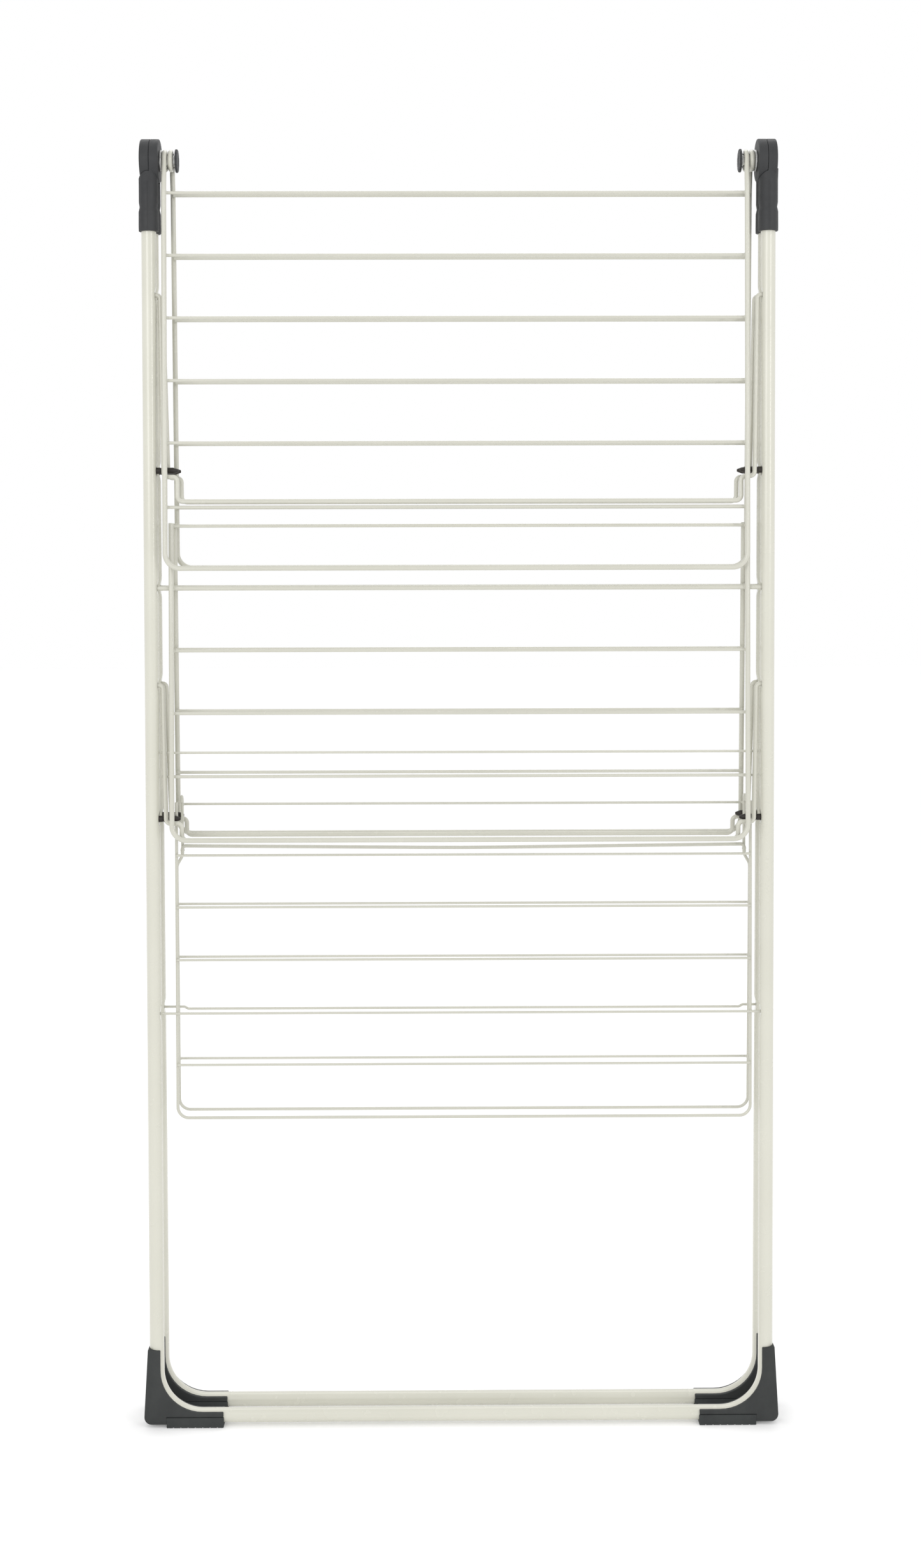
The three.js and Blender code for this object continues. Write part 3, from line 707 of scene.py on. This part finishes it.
def leg_tube(side):
    line, matrix = leg_line(), LEGS[side]
    outside = pressed_dimples(DIMPLE_RADIUS)
    inside = pressed_dimples(DIMPLE_RADIUS + TUBE_WALL)
    tube = rod(line, TUBE_RADIUS, TUBE_SIDES, matrix, 0, outside)
    bore = rod(line, TUBE_RADIUS - TUBE_WALL, TUBE_SIDES, matrix, 0, inside)
    holes = []
    for end in (-1, 1):
        for height, radius in TUBE_HOLES:
            start = (end * HOLE_START_X, -TUBE_OUT, height)
            stop = (end * TUBE_X, -TUBE_OUT, height)
            holes.append(straight(start, stop, radius, HOLE_SIDES, matrix, 0))
    finish_piece(cut(tube, [bore, *holes]), f"{side}_leg_tube", f"{side}_leg_frame")


# ---------------------------------------------------------------- hinges

# outlines of the sleeve, as (height, radius, fillet radius), and of the line down its front
SLEEVE_OUTLINE = [
    (SLEEVE_BOTTOM, 10.7, 0.8),
    (SLEEVE_BOTTOM + 5, 10.8, 20),
    (SLEEVE_WAIST - 5, 10.7, 5),
    (SLEEVE_WAIST, 9.6, 2.5),
    (SLEEVE_WAIST + 5, 10.4, 5),
    (SLEEVE_TOP - 12, 10.4, 20),
    (SLEEVE_TOP, 10.8),
]
MOULD_LINE = [
    (SLEEVE_BOTTOM + 1.5, 10.55),
    (SLEEVE_WAIST - 6, 10.5),
    (SLEEVE_WAIST, 9.5),
    (SLEEVE_WAIST + 6, 10.2),
    (SLEEVE_TOP - 14, 10.2),
]


def knuckle(near_x, far_x, end, matrix):
    """Half of the knuckle, with a rounder edge where it does not meet the other half."""
    near_edge = KNUCKLE_EDGE if near_x == KNUCKLE_INNER_X else KNUCKLE_SPLIT_EDGE
    far_edge = KNUCKLE_EDGE if far_x == KNUCKLE_OUTER_X else KNUCKLE_SPLIT_EDGE
    profile = [(near_x, KNUCKLE_RADIUS, near_edge), (far_x, KNUCKLE_RADIUS, far_edge)]
    return turned(profile, (0, 0, AXLE_HEIGHT), "X", matrix, end, KNUCKLE_SIDES)


def across(near_x, far_x, radius, end, matrix, sides):
    """A plain cylinder along the axles."""
    start, stop = (end * near_x, 0, AXLE_HEIGHT), (end * far_x, 0, AXLE_HEIGHT)
    return straight(start, stop, radius, sides, matrix, 0)


def sleeve(end, matrix):
    """The sleeve round the top of a leg tube, with the line that its two mould halves leave."""
    body = turned(SLEEVE_OUTLINE, (end * TUBE_X, -TUBE_OUT, 0), "Z", matrix)
    points = [Vector((end * TUBE_X, -TUBE_OUT - radius, height)) for height, radius in MOULD_LINE]
    line = rod(points, MOULD_LINE_RADIUS, MOULD_LINE_SIDES, matrix, MOULD_LINE_EDGE)
    return joined([body, line])


def hinge(side, end):
    """The socket on a leg tube with its half of the knuckle: the outer half at one end only."""
    matrix = LEGS[side]
    outer = (KNUCKLE_SPLIT_X + GAP / 2, KNUCKLE_OUTER_X)
    inner = (KNUCKLE_INNER_X, KNUCKLE_SPLIT_X - GAP / 2)
    if end > 0:
        own = outer
        other = (KNUCKLE_INNER_X - CUTTER_MARGIN, outer[0])
        bore_end = AXLE_TIP_X + AXLE_TIP_ROOM
    else:
        own = inner
        other = (inner[1], KNUCKLE_OUTER_X + CUTTER_MARGIN)
        bore_end = KNUCKLE_SPLIT_X + CUTTER_LIP
    swept = across(*other, KNUCKLE_RADIUS + KNUCKLE_CLEARANCE, end, matrix, KNUCKLE_SIDES)
    behind = block(
        (end * TUBE_X - CUTTER_REACH, -GAP / 2, SLEEVE_BOTTOM - CUTTER_MARGIN),
        (end * TUBE_X + CUTTER_REACH, CUTTER_REACH, AXLE_HEIGHT),
        matrix,
    )
    socket = cut(sleeve(end, matrix), [swept, behind])
    body = joined([socket, knuckle(*own, end, matrix)])
    bore_start = KNUCKLE_INNER_X - CUTTER_LIP
    bore = across(bore_start, bore_end, AXLE_RADIUS + FREE_FIT, end, matrix, BORE_SIDES)
    low = (end * TUBE_X, -TUBE_OUT, SLEEVE_BOTTOM - CUTTER_LIP)
    high = (end * TUBE_X, -TUBE_OUT, TUBE_TOP + SNUG_FIT)
    tube = straight(low, high, TUBE_RADIUS + SNUG_FIT, TUBE_SIDES, matrix, 0)
    node = f"{side}_hinge_{side_name(side, end)}"
    finish_piece(cut(body, [bore, tube]), f"{node}_housing", node)


def axle(end):
    """The stub axle, with a washer between the wing's eye and the knuckle."""
    washer_near = OUTER_EYE_X + ROD_RADIUS + GAP
    washer_far = KNUCKLE_INNER_X - GAP
    profile = [
        (CAP_OUTER_X - AXLE_SEAT_DEPTH, AXLE_RADIUS, 0.4),
        (washer_near, AXLE_RADIUS),
        (washer_near, WASHER_RADIUS, 0.35),
        (washer_far, WASHER_RADIUS, 0.35),
        (washer_far, AXLE_RADIUS),
        (AXLE_TIP_X, AXLE_RADIUS, 1.2),
    ]
    node = f"axle_{side_name('front', end)}"
    solid = turned(profile, (0, 0, AXLE_HEIGHT), "X", LEGS["front"], end)
    finish_piece(solid, f"{node}_pin", node)


def notched_rim(x, radius, angle):
    """Pulls in the rim of an axle cap at its notches, and leaves its face and its bore round."""
    if radius <= CAP_RADIUS - CAP_RIM_WIDTH or x >= CAP_OUTER_X - CAP_RIM_BACK:
        return radius
    notch = max(0.0, math.cos(CAP_NOTCHES * angle)) ** CAP_NOTCH_SHARPNESS
    return radius - CAP_NOTCH_DEPTH * notch


def axle_cap(end):
    """A push-on cap with a notched rim and a dished face."""
    profile = [
        (CAP_INNER_X + CAP_DISH_DEPTH, CAP_DISH_RADIUS, 0.4),
        (CAP_INNER_X, CAP_DISH_RADIUS + CAP_DISH_SLOPE, 0.4),
        (CAP_INNER_X, CAP_RADIUS - CAP_CHAMFER, 0.5),
        (CAP_INNER_X + CAP_CHAMFER, CAP_RADIUS, 0.4),
        (CAP_OUTER_X, CAP_RADIUS, 0.4),
        (CAP_OUTER_X, AXLE_RADIUS + FREE_FIT),
        (CAP_OUTER_X - CAP_BORE_DEPTH, AXLE_RADIUS + FREE_FIT),
    ]
    node = f"axle_cap_{side_name('front', end)}"
    place = (0, 0, AXLE_HEIGHT)
    solid = turned(profile, place, "X", LEGS["front"], end, CAP_SIDES, notched_rim)
    finish_piece(solid, f"{node}_disc", node)


# ---------------------------------------------------------------- pegs and feet


def stop_peg(side, end, level, height):
    """A plug with a rounded nose and a groove where it enters the leg tube."""
    groove_start, groove_end = PEG_ROOT_X - PEG_GROOVE_START, PEG_ROOT_X - PEG_GROOVE_END
    groove_radius = PEG_RADIUS - PEG_GROOVE_DEPTH
    profile = [
        (PEG_TIP_X, PEG_TIP_RADIUS, 0.6),
        (PEG_TIP_X + PEG_NOSE_LENGTH, PEG_RADIUS, 3),
        (groove_start, PEG_RADIUS),
        (groove_start + PEG_GROOVE_SLOPE, groove_radius),
        (groove_end - PEG_GROOVE_SLOPE, groove_radius),
        (groove_end, PEG_RADIUS),
        (PEG_ROOT_X, PEG_RADIUS, 0.4),
    ]
    node = f"{side}_{level}_peg_{side_name(side, end)}"
    solid = turned(profile, (0, -TUBE_OUT, height), "X", LEGS[side], end, PEG_SIDES)
    finish_piece(solid, f"{node}_plug", node)


def foot_channel(side, end):
    """The room that a foot leaves for the lower bend of its leg tube."""
    line = bent([
        (end * TUBE_X, -TUBE_OUT, FOOT_TOP + CUTTER_REACH),
        (end * TUBE_X, -TUBE_OUT, RAIL_HEIGHT, LEG_BEND),
        (end * (PAD_INNER_X - CUTTER_REACH), -TUBE_OUT, RAIL_HEIGHT),
    ], TUBE_STEP)
    return rod(line, TUBE_RADIUS + SNUG_FIT, TUBE_SIDES, LEGS[side], 0)


def pad_middle(side):
    for mount in frame["record"]["mounts"]:
        if mount["name"].startswith(side):
            return mount["pos_m"][1] / MM
    raise ValueError("no pad mount on " + side)


def foot_shell(side, end):
    """A clip-on shoe round the lower bend, with a line above its pad on each face."""
    outline = [
        (FOOT_LIP_X, FOOT_TOP, 1),
        (FOOT_LIP_X, FOOT_LIP_HEIGHT, FOOT_LIP_BEND),
        (FOOT_ARM_END_X, FOOT_LIP_HEIGHT, 1),
        (FOOT_ARM_END_X, FOOT_SHELL_BOTTOM, 1),
        (FOOT_WALL_BASE_X, FOOT_SHELL_BOTTOM, FOOT_CORNER),
        (FOOT_WALL_TOP_X, FOOT_TOP + FOOT_TOP_RISE, 1.4),
    ]
    middle = ((outline[0][0] + outline[-1][0]) / 2, (outline[0][1] + outline[-1][1]) / 2)
    matrix = LEGS[side]
    shell = extruded([middle, *outline], -TUBE_OUT, FOOT_HALF_DEPTH, FOOT_EDGE, matrix, end)
    line_ends = (end * (PAD_INNER_X - PAD_LINE_INNER), end * (PAD_OUTER_X + PAD_LINE_OUTER))
    lines = []
    for face in (-1, 1):
        y = -TUBE_OUT + face * FOOT_HALF_DEPTH
        low = (min(line_ends), y - PAD_LINE_DEPTH, PAD_TOP - PAD_LINE_BELOW)
        high = (max(line_ends), y + PAD_LINE_DEPTH, PAD_TOP + PAD_LINE_ABOVE)
        lines.append(block(low, high, matrix))
    node = f"{side}_foot_{side_name(side, end)}"
    finish_piece(cut(shell, [foot_channel(side, end), *lines]), f"{node}_shell", node)


def foot_pad(side, end):
    """The pad under a foot, level on the floor and grooved across its underside."""
    outline = [
        ((PAD_INNER_X + PAD_OUTER_X) / 2, PAD_TOP),
        (PAD_OUTER_X, PAD_TOP, 1),
        (PAD_OUTER_X, 0, 1.2),
        (PAD_INNER_X, 0, 1.2),
        (PAD_INNER_X, PAD_TOP, 1),
    ]
    row_end = end if side == "front" else -end
    y = pad_middle(side)
    pad = extruded(outline, y, PAD_HALF_DEPTH, PAD_EDGE, ROW_FRAME, row_end)
    grooves = []
    x = PAD_INNER_X + TREAD_START
    while x < PAD_OUTER_X - TREAD_STOP:
        low = (row_end * x - TREAD_HALF_WIDTH, y - CUTTER_REACH, -CUTTER_LIP)
        high = (row_end * x + TREAD_HALF_WIDTH, y + CUTTER_REACH, TREAD_DEPTH)
        grooves.append(block(low, high, ROW_FRAME))
        x += TREAD_PITCH
    node = f"{side}_foot_{side_name(side, end)}"
    finish_piece(cut(pad, [foot_channel(side, end), *grooves]), f"{node}_pad", node, RUBBER)


# ---------------------------------------------------------------- wires


def wire(node, radius, rod_side):
    """A straight wire in its CAD place with a weld at each end, on the side where the rods are."""
    low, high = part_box(node)
    y, z = (low.y + high.y) / 2 / MM, (low.z + high.z) / 2 / MM
    ends = (low.x / MM, high.x / MM)
    start, stop = (ends[0], y, z), (ends[1], y, z)
    solids = [straight(start, stop, radius, WIRE_SIDES, ROW_FRAME, WIRE_EDGE)]
    radii = (radius * WIRE_WELD_LENGTH, WIRE_WELD_DEPTH, radius * WIRE_WELD_HEIGHT)
    for x, inward in zip(ends, (1, -1)):
        place = (x + inward * WIRE_WELD_INSET, y + rod_side * radius, z)
        solids.append(ball(place, radii, ROW_FRAME))
    weight = "light" if radius == LIGHT_WIRE_RADIUS else "heavy"
    finish_piece(joined(solids), f"{node}_{weight}", node)


def wires(panel, count, radius, rod_side):
    """The wires of one panel, numbered from 1. Its rods are on rod_side of them along Y."""
    for i in range(1, count + 1):
        wire(f"{panel}_wire_{i}", radius, rod_side)


def weld(place, matrix, size):
    return ball(place, [size * share for share in WELD_SHAPE], matrix)


# ---------------------------------------------------------------- wings


def wing_side(x):
    """The rod from its free end round the axle and down to the shin."""
    leave = math.atan((WING_KNEE[0] - EYE_RADIUS) / (AXLE_HEIGHT - WING_KNEE[1]))
    points = []
    for k in range(EYE_STEPS + 1):
        angle = EYE_TURN + (leave - EYE_TURN) * k / EYE_STEPS
        y = -EYE_RADIUS * math.cos(angle)
        points.append((x, y, AXLE_HEIGHT + EYE_RADIUS * math.sin(angle)))
    points.append((x, -WING_KNEE[0], WING_KNEE[1], WING_KNEE_BEND))
    points.append((x, -WING_SHIN[0], WING_SHIN[1], WING_SHIN_BEND))
    return points


def wing(side):
    left, right = wing_side(-OUTER_EYE_X), wing_side(INNER_EYE_X)
    corners = [
        *left,
        (-OUTER_EYE_X, -WING_RAIL_OUT, WING_RAIL_HEIGHT, PANEL_BEND),
        (INNER_EYE_X, -WING_RAIL_OUT, WING_RAIL_HEIGHT, PANEL_BEND),
        *reversed(right),
    ]
    solid = rod(bent(corners), ROD_RADIUS, ROD_SIDES, LEGS[side])
    finish_piece(solid, f"{side}_wing_rod", f"{side}_wing_frame")
    wires(f"{side}_wing", WING_WIRES, WIRE_RADIUS, OUTWARD[side])


# ---------------------------------------------------------------- mid panels


def mid_panel(side):
    matrix = pivot_matrix(side, "mid", MID_LEAN)
    out = 2 * ROD_RADIUS - WELD_BITE
    top, rail = MID_TOP - PIVOTS["mid"], MID_RAIL - PIVOTS["mid"]
    loop = rod(bent([
        (-MID_ROD_X, -out, top),
        (-MID_ROD_X, -out, rail, PANEL_BEND),
        (MID_ROD_X, -out, rail, PANEL_BEND),
        (MID_ROD_X, -out, top),
    ]), ROD_RADIUS, ROD_SIDES, matrix)
    pivot = straight((-ROD_END_X, 0, 0), (ROD_END_X, 0, 0), ROD_RADIUS, ROD_SIDES, matrix)
    welds = [weld((end * MID_ROD_X, -out / 2, 0), matrix, MID_WELD) for end in (-1, 1)]
    finish_piece(joined([loop, pivot, *welds]), f"{side}_mid_rods", f"{side}_mid_frame")
    wires(f"{side}_mid", PANEL_WIRES, WIRE_RADIUS, OUTWARD[side])


# ---------------------------------------------------------------- low panels


def low_front_panel():
    """A plain loop of rod on its pivot wire."""
    matrix = pivot_matrix("front", "low", LOW_LEAN)
    left, right = LOW_FRONT_X
    top, rail = LOW_FRONT_TOP - PIVOTS["low"], LOW_RAIL - PIVOTS["low"]
    loop = rod(bent([
        (left, LOW_ROD_Y, top),
        (left, LOW_ROD_Y, rail, LOW_BEND),
        (right, LOW_ROD_Y, rail, LOW_BEND),
        (right, LOW_ROD_Y, top),
    ]), LIGHT_ROD_RADIUS, ROD_SIDES, matrix)
    pivot = straight((-ROD_END_X, 0, 0), (ROD_END_X, 0, 0), LIGHT_WIRE_RADIUS, WIRE_SIDES, matrix)
    welds = [weld((x, LOW_ROD_Y / 2, 0), matrix, LOW_WELD) for x in LOW_FRONT_X]
    finish_piece(joined([loop, pivot, *welds]), "front_low_rods", "front_low_frame")
    wires("front_low", PANEL_WIRES, LIGHT_WIRE_RADIUS, -OUTWARD["front"])


def low_rear_panel():
    """A loop of rod with jogs and hooked ends, a dropped pivot wire and a bowed catch bar."""
    matrix = pivot_matrix("rear", "low", LOW_LEAN)
    left, right = LOW_REAR_X
    base = PIVOTS["low"]
    crest, rail = LOW_HOOK_CREST - base, LOW_RAIL - base
    jog_top, jog_bottom = LOW_JOG_TOP - base, LOW_JOG_BOTTOM - base
    hook_y = LOW_ROD_Y + 2 * LOW_HOOK_RADIUS

    def hook(x):
        return [
            (x, hook_y, crest - LOW_HOOK_RADIUS - LOW_HOOK_TIP),
            (x, hook_y, crest, LOW_HOOK_BEND),
            (x, LOW_ROD_Y, crest, LOW_HOOK_BEND),
        ]

    def jog(x, out):
        return [
            (x, LOW_ROD_Y, jog_top, LOW_BEND),
            (x + out, LOW_ROD_Y, jog_bottom, LOW_BEND),
            (x + out, LOW_ROD_Y, rail, LOW_BEND),
        ]

    loop = rod(bent([
        *hook(left),
        *jog(left, -LOW_JOG_STEP),
        *reversed(jog(right, LOW_JOG_STEP)),
        *reversed(hook(right)),
    ], LIGHT_BEND_STEP), LIGHT_ROD_RADIUS, ROD_SIDES, matrix)
    pivot = rod(bent([
        (-ROD_END_X, 0, 0),
        (left, 0, 0, LOW_PIVOT_BEND),
        (left + LOW_PIVOT_STEP, 0, -LOW_PIVOT_DROP, LOW_PIVOT_BEND),
        (right - LOW_PIVOT_STEP, 0, -LOW_PIVOT_DROP, LOW_PIVOT_BEND),
        (right, 0, 0, LOW_PIVOT_BEND),
        (ROD_END_X, 0, 0),
    ]), LIGHT_WIRE_RADIUS, WIRE_SIDES, matrix)
    catch_y = LOW_ROD_Y + LIGHT_ROD_RADIUS + CATCH_RADIUS - WELD_BITE
    catch_z = CATCH_HEIGHT - base
    catch = rod(bent([
        (left, catch_y, catch_z - CATCH_END_DROP),
        (left, catch_y, catch_z, CATCH_END_BEND),
        ((left + right) / 2, catch_y, catch_z - CATCH_BOW, CATCH_BOW_BEND),
        (right, catch_y, catch_z, CATCH_END_BEND),
        (right, catch_y, catch_z - CATCH_END_DROP),
    ], LIGHT_BEND_STEP), CATCH_RADIUS, ROD_SIDES, matrix)
    welds = []
    catch_weld_y, catch_weld_z = (LOW_ROD_Y + catch_y) / 2, catch_z - CATCH_WELD_DROP
    for x, out in ((left, -LOW_JOG_STEP), (right, LOW_JOG_STEP)):
        welds.append(weld((x + out, LOW_ROD_Y / 2, 0), matrix, LOW_WELD))
        welds.append(weld((x, catch_weld_y, catch_weld_z), matrix, CATCH_WELD))
    finish_piece(joined([loop, pivot, catch, *welds]), "rear_low_rods", "rear_low_frame")
    wires("rear_low", PANEL_WIRES, LIGHT_WIRE_RADIUS, -OUTWARD["rear"])


# ---------------------------------------------------------------- stays


def stay(side, name, sizes, wire_heights=()):
    """A rod bent to a U with stepped arms that clear its pegs, and any cross wires."""
    base = PIVOTS[name]
    drop = base - sizes["peg"]
    matrix = pivot_matrix(side, name, math.atan(STAY_CLEAR_OF_PEG / drop))
    shoulder, bar = sizes["shoulder"] - base, sizes["bar"] - base
    slope = (STAY_PEG_X - STAY_TOP_X) / drop
    shoulder_x, inner_x = STAY_TOP_X - slope * shoulder, sizes["inner_x"]

    def arm(end):
        return [
            (end * ROD_END_X, 0, 0),
            (end * STAY_TOP_X, 0, 0, STAY_TOP_BEND),
            (end * shoulder_x, 0, shoulder, STAY_SHOULDER_BEND),
            (end * inner_x, 0, shoulder, STAY_SHOULDER_BEND),
            (end * inner_x, 0, bar, STAY_BAR_BEND),
        ]

    line = bent([*arm(-1), *reversed(arm(1))], LIGHT_BEND_STEP)
    solids = [rod(line, STAY_RADIUS, ROD_SIDES, matrix)]
    y = STAY_RADIUS + LIGHT_WIRE_RADIUS - WELD_BITE
    for height in wire_heights:
        z = height - base
        start, stop = (-STAY_WIRE_END_X, y, z), (STAY_WIRE_END_X, y, z)
        solids.append(straight(start, stop, LIGHT_WIRE_RADIUS, WIRE_SIDES, matrix))
        arm_x = STAY_TOP_X - slope * z
        for end in (-1, 1):
            solids.append(weld((end * arm_x, y - STAY_WELD_INSET, z), matrix, STAY_WELD))
    finish_piece(joined(solids), f"{side}_{name}_rod", f"{side}_{name}")


# ---------------------------------------------------------------- the rack

for side in ("front", "rear"):
    leg_tube(side)
    for end in (-1, 1):
        hinge(side, end)
        foot_shell(side, end)
        foot_pad(side, end)
        stop_peg(side, end, "upper", UPPER_STAY["peg"])
        stop_peg(side, end, "lower", LOWER_STAY["peg"])
    wing(side)
    mid_panel(side)
    stay(side, "upper_stay", UPPER_STAY)
    stay(side, "lower_stay", LOWER_STAY, LOWER_STAY_WIRES if side == "front" else ())
for end in (-1, 1):
    axle(end)
    axle_cap(end)
low_front_panel()
low_rear_panel()

# ---------------------------------------------------------------- studio, in metres

CAMERA_PLACE = (-0.0192, -2.336, 0.9691)
CAMERA_PITCH = math.radians(-2.571)
CAMERA_YAW = math.radians(0.492)
CAMERA_ROLL = math.radians(-0.133)
CAMERA_LENS = 49.16
CAMERA_SENSOR = 36
CAMERA_SHIFT_Y = -0.0937
CAMERA_SIGHT = 60
FLOOR_REACH = 14

# each light's place, the point that it faces, its width, its height and its power in watts
LIGHTS = {
    "key": ((-1.5, -3.0, 1.8), (0, 0, 0.7), 1.6, 1.6, 20),
    "strip": ((1.95, -2.3, 1.75), (0, 0, 1.0), 0.22, 1.7, 12),
    "top": ((0, 0.9, 2.6), (0, 0, 0), 1.6, 1.2, 7),
}


def make_camera():
    data = bpy.data.cameras.new("camera")
    data.lens = CAMERA_LENS
    data.sensor_width = CAMERA_SENSOR
    data.shift_y = CAMERA_SHIFT_Y
    data.clip_end = CAMERA_SIGHT
    camera = bpy.data.objects.new("camera", data)
    turn = Matrix.Rotation(-CAMERA_YAW, 4, "Z")
    tilt = Matrix.Rotation(math.pi / 2 + CAMERA_PITCH, 4, "X")
    roll = Matrix.Rotation(CAMERA_ROLL, 4, "Z")
    camera.matrix_world = Matrix.Translation(CAMERA_PLACE) @ turn @ tilt @ roll
    bpy.context.scene.collection.objects.link(camera)
    bpy.context.scene.camera = camera


def make_floor():
    data = bpy.data.meshes.new("floor")
    corners = [(-1, -1), (1, -1), (1, 1), (-1, 1)]
    verts = [(x * FLOOR_REACH, y * FLOOR_REACH, 0) for x, y in corners]
    data.from_pydata(verts, [], [(0, 1, 2, 3)])
    data.materials.append(floor_paper("floor_paper"))
    floor = bpy.data.objects.new("floor", data)
    bpy.context.scene.collection.objects.link(floor)


def soft_light(name, place, aim, width, height, power):
    data = bpy.data.lights.new(name, "AREA")
    data.shape = "RECTANGLE"
    data.size, data.size_y = width, height
    data.energy = power
    light = bpy.data.objects.new(name, data)
    light.location = place
    light.rotation_euler = (Vector(aim) - Vector(place)).to_track_quat("-Z", "Y").to_euler()
    bpy.context.scene.collection.objects.link(light)


def make_studio():
    world = bpy.data.worlds.new("studio")
    world.use_nodes = True
    backdrop = world.node_tree.nodes["Background"]
    backdrop.inputs["Color"].default_value = (1, 1, 1, 1)
    backdrop.inputs["Strength"].default_value = 1.0
    bpy.context.scene.world = world
    bpy.context.scene.view_settings.view_transform = "Standard"
    for name, settings in LIGHTS.items():
        soft_light(name, *settings)


make_camera()
make_floor()
make_studio()
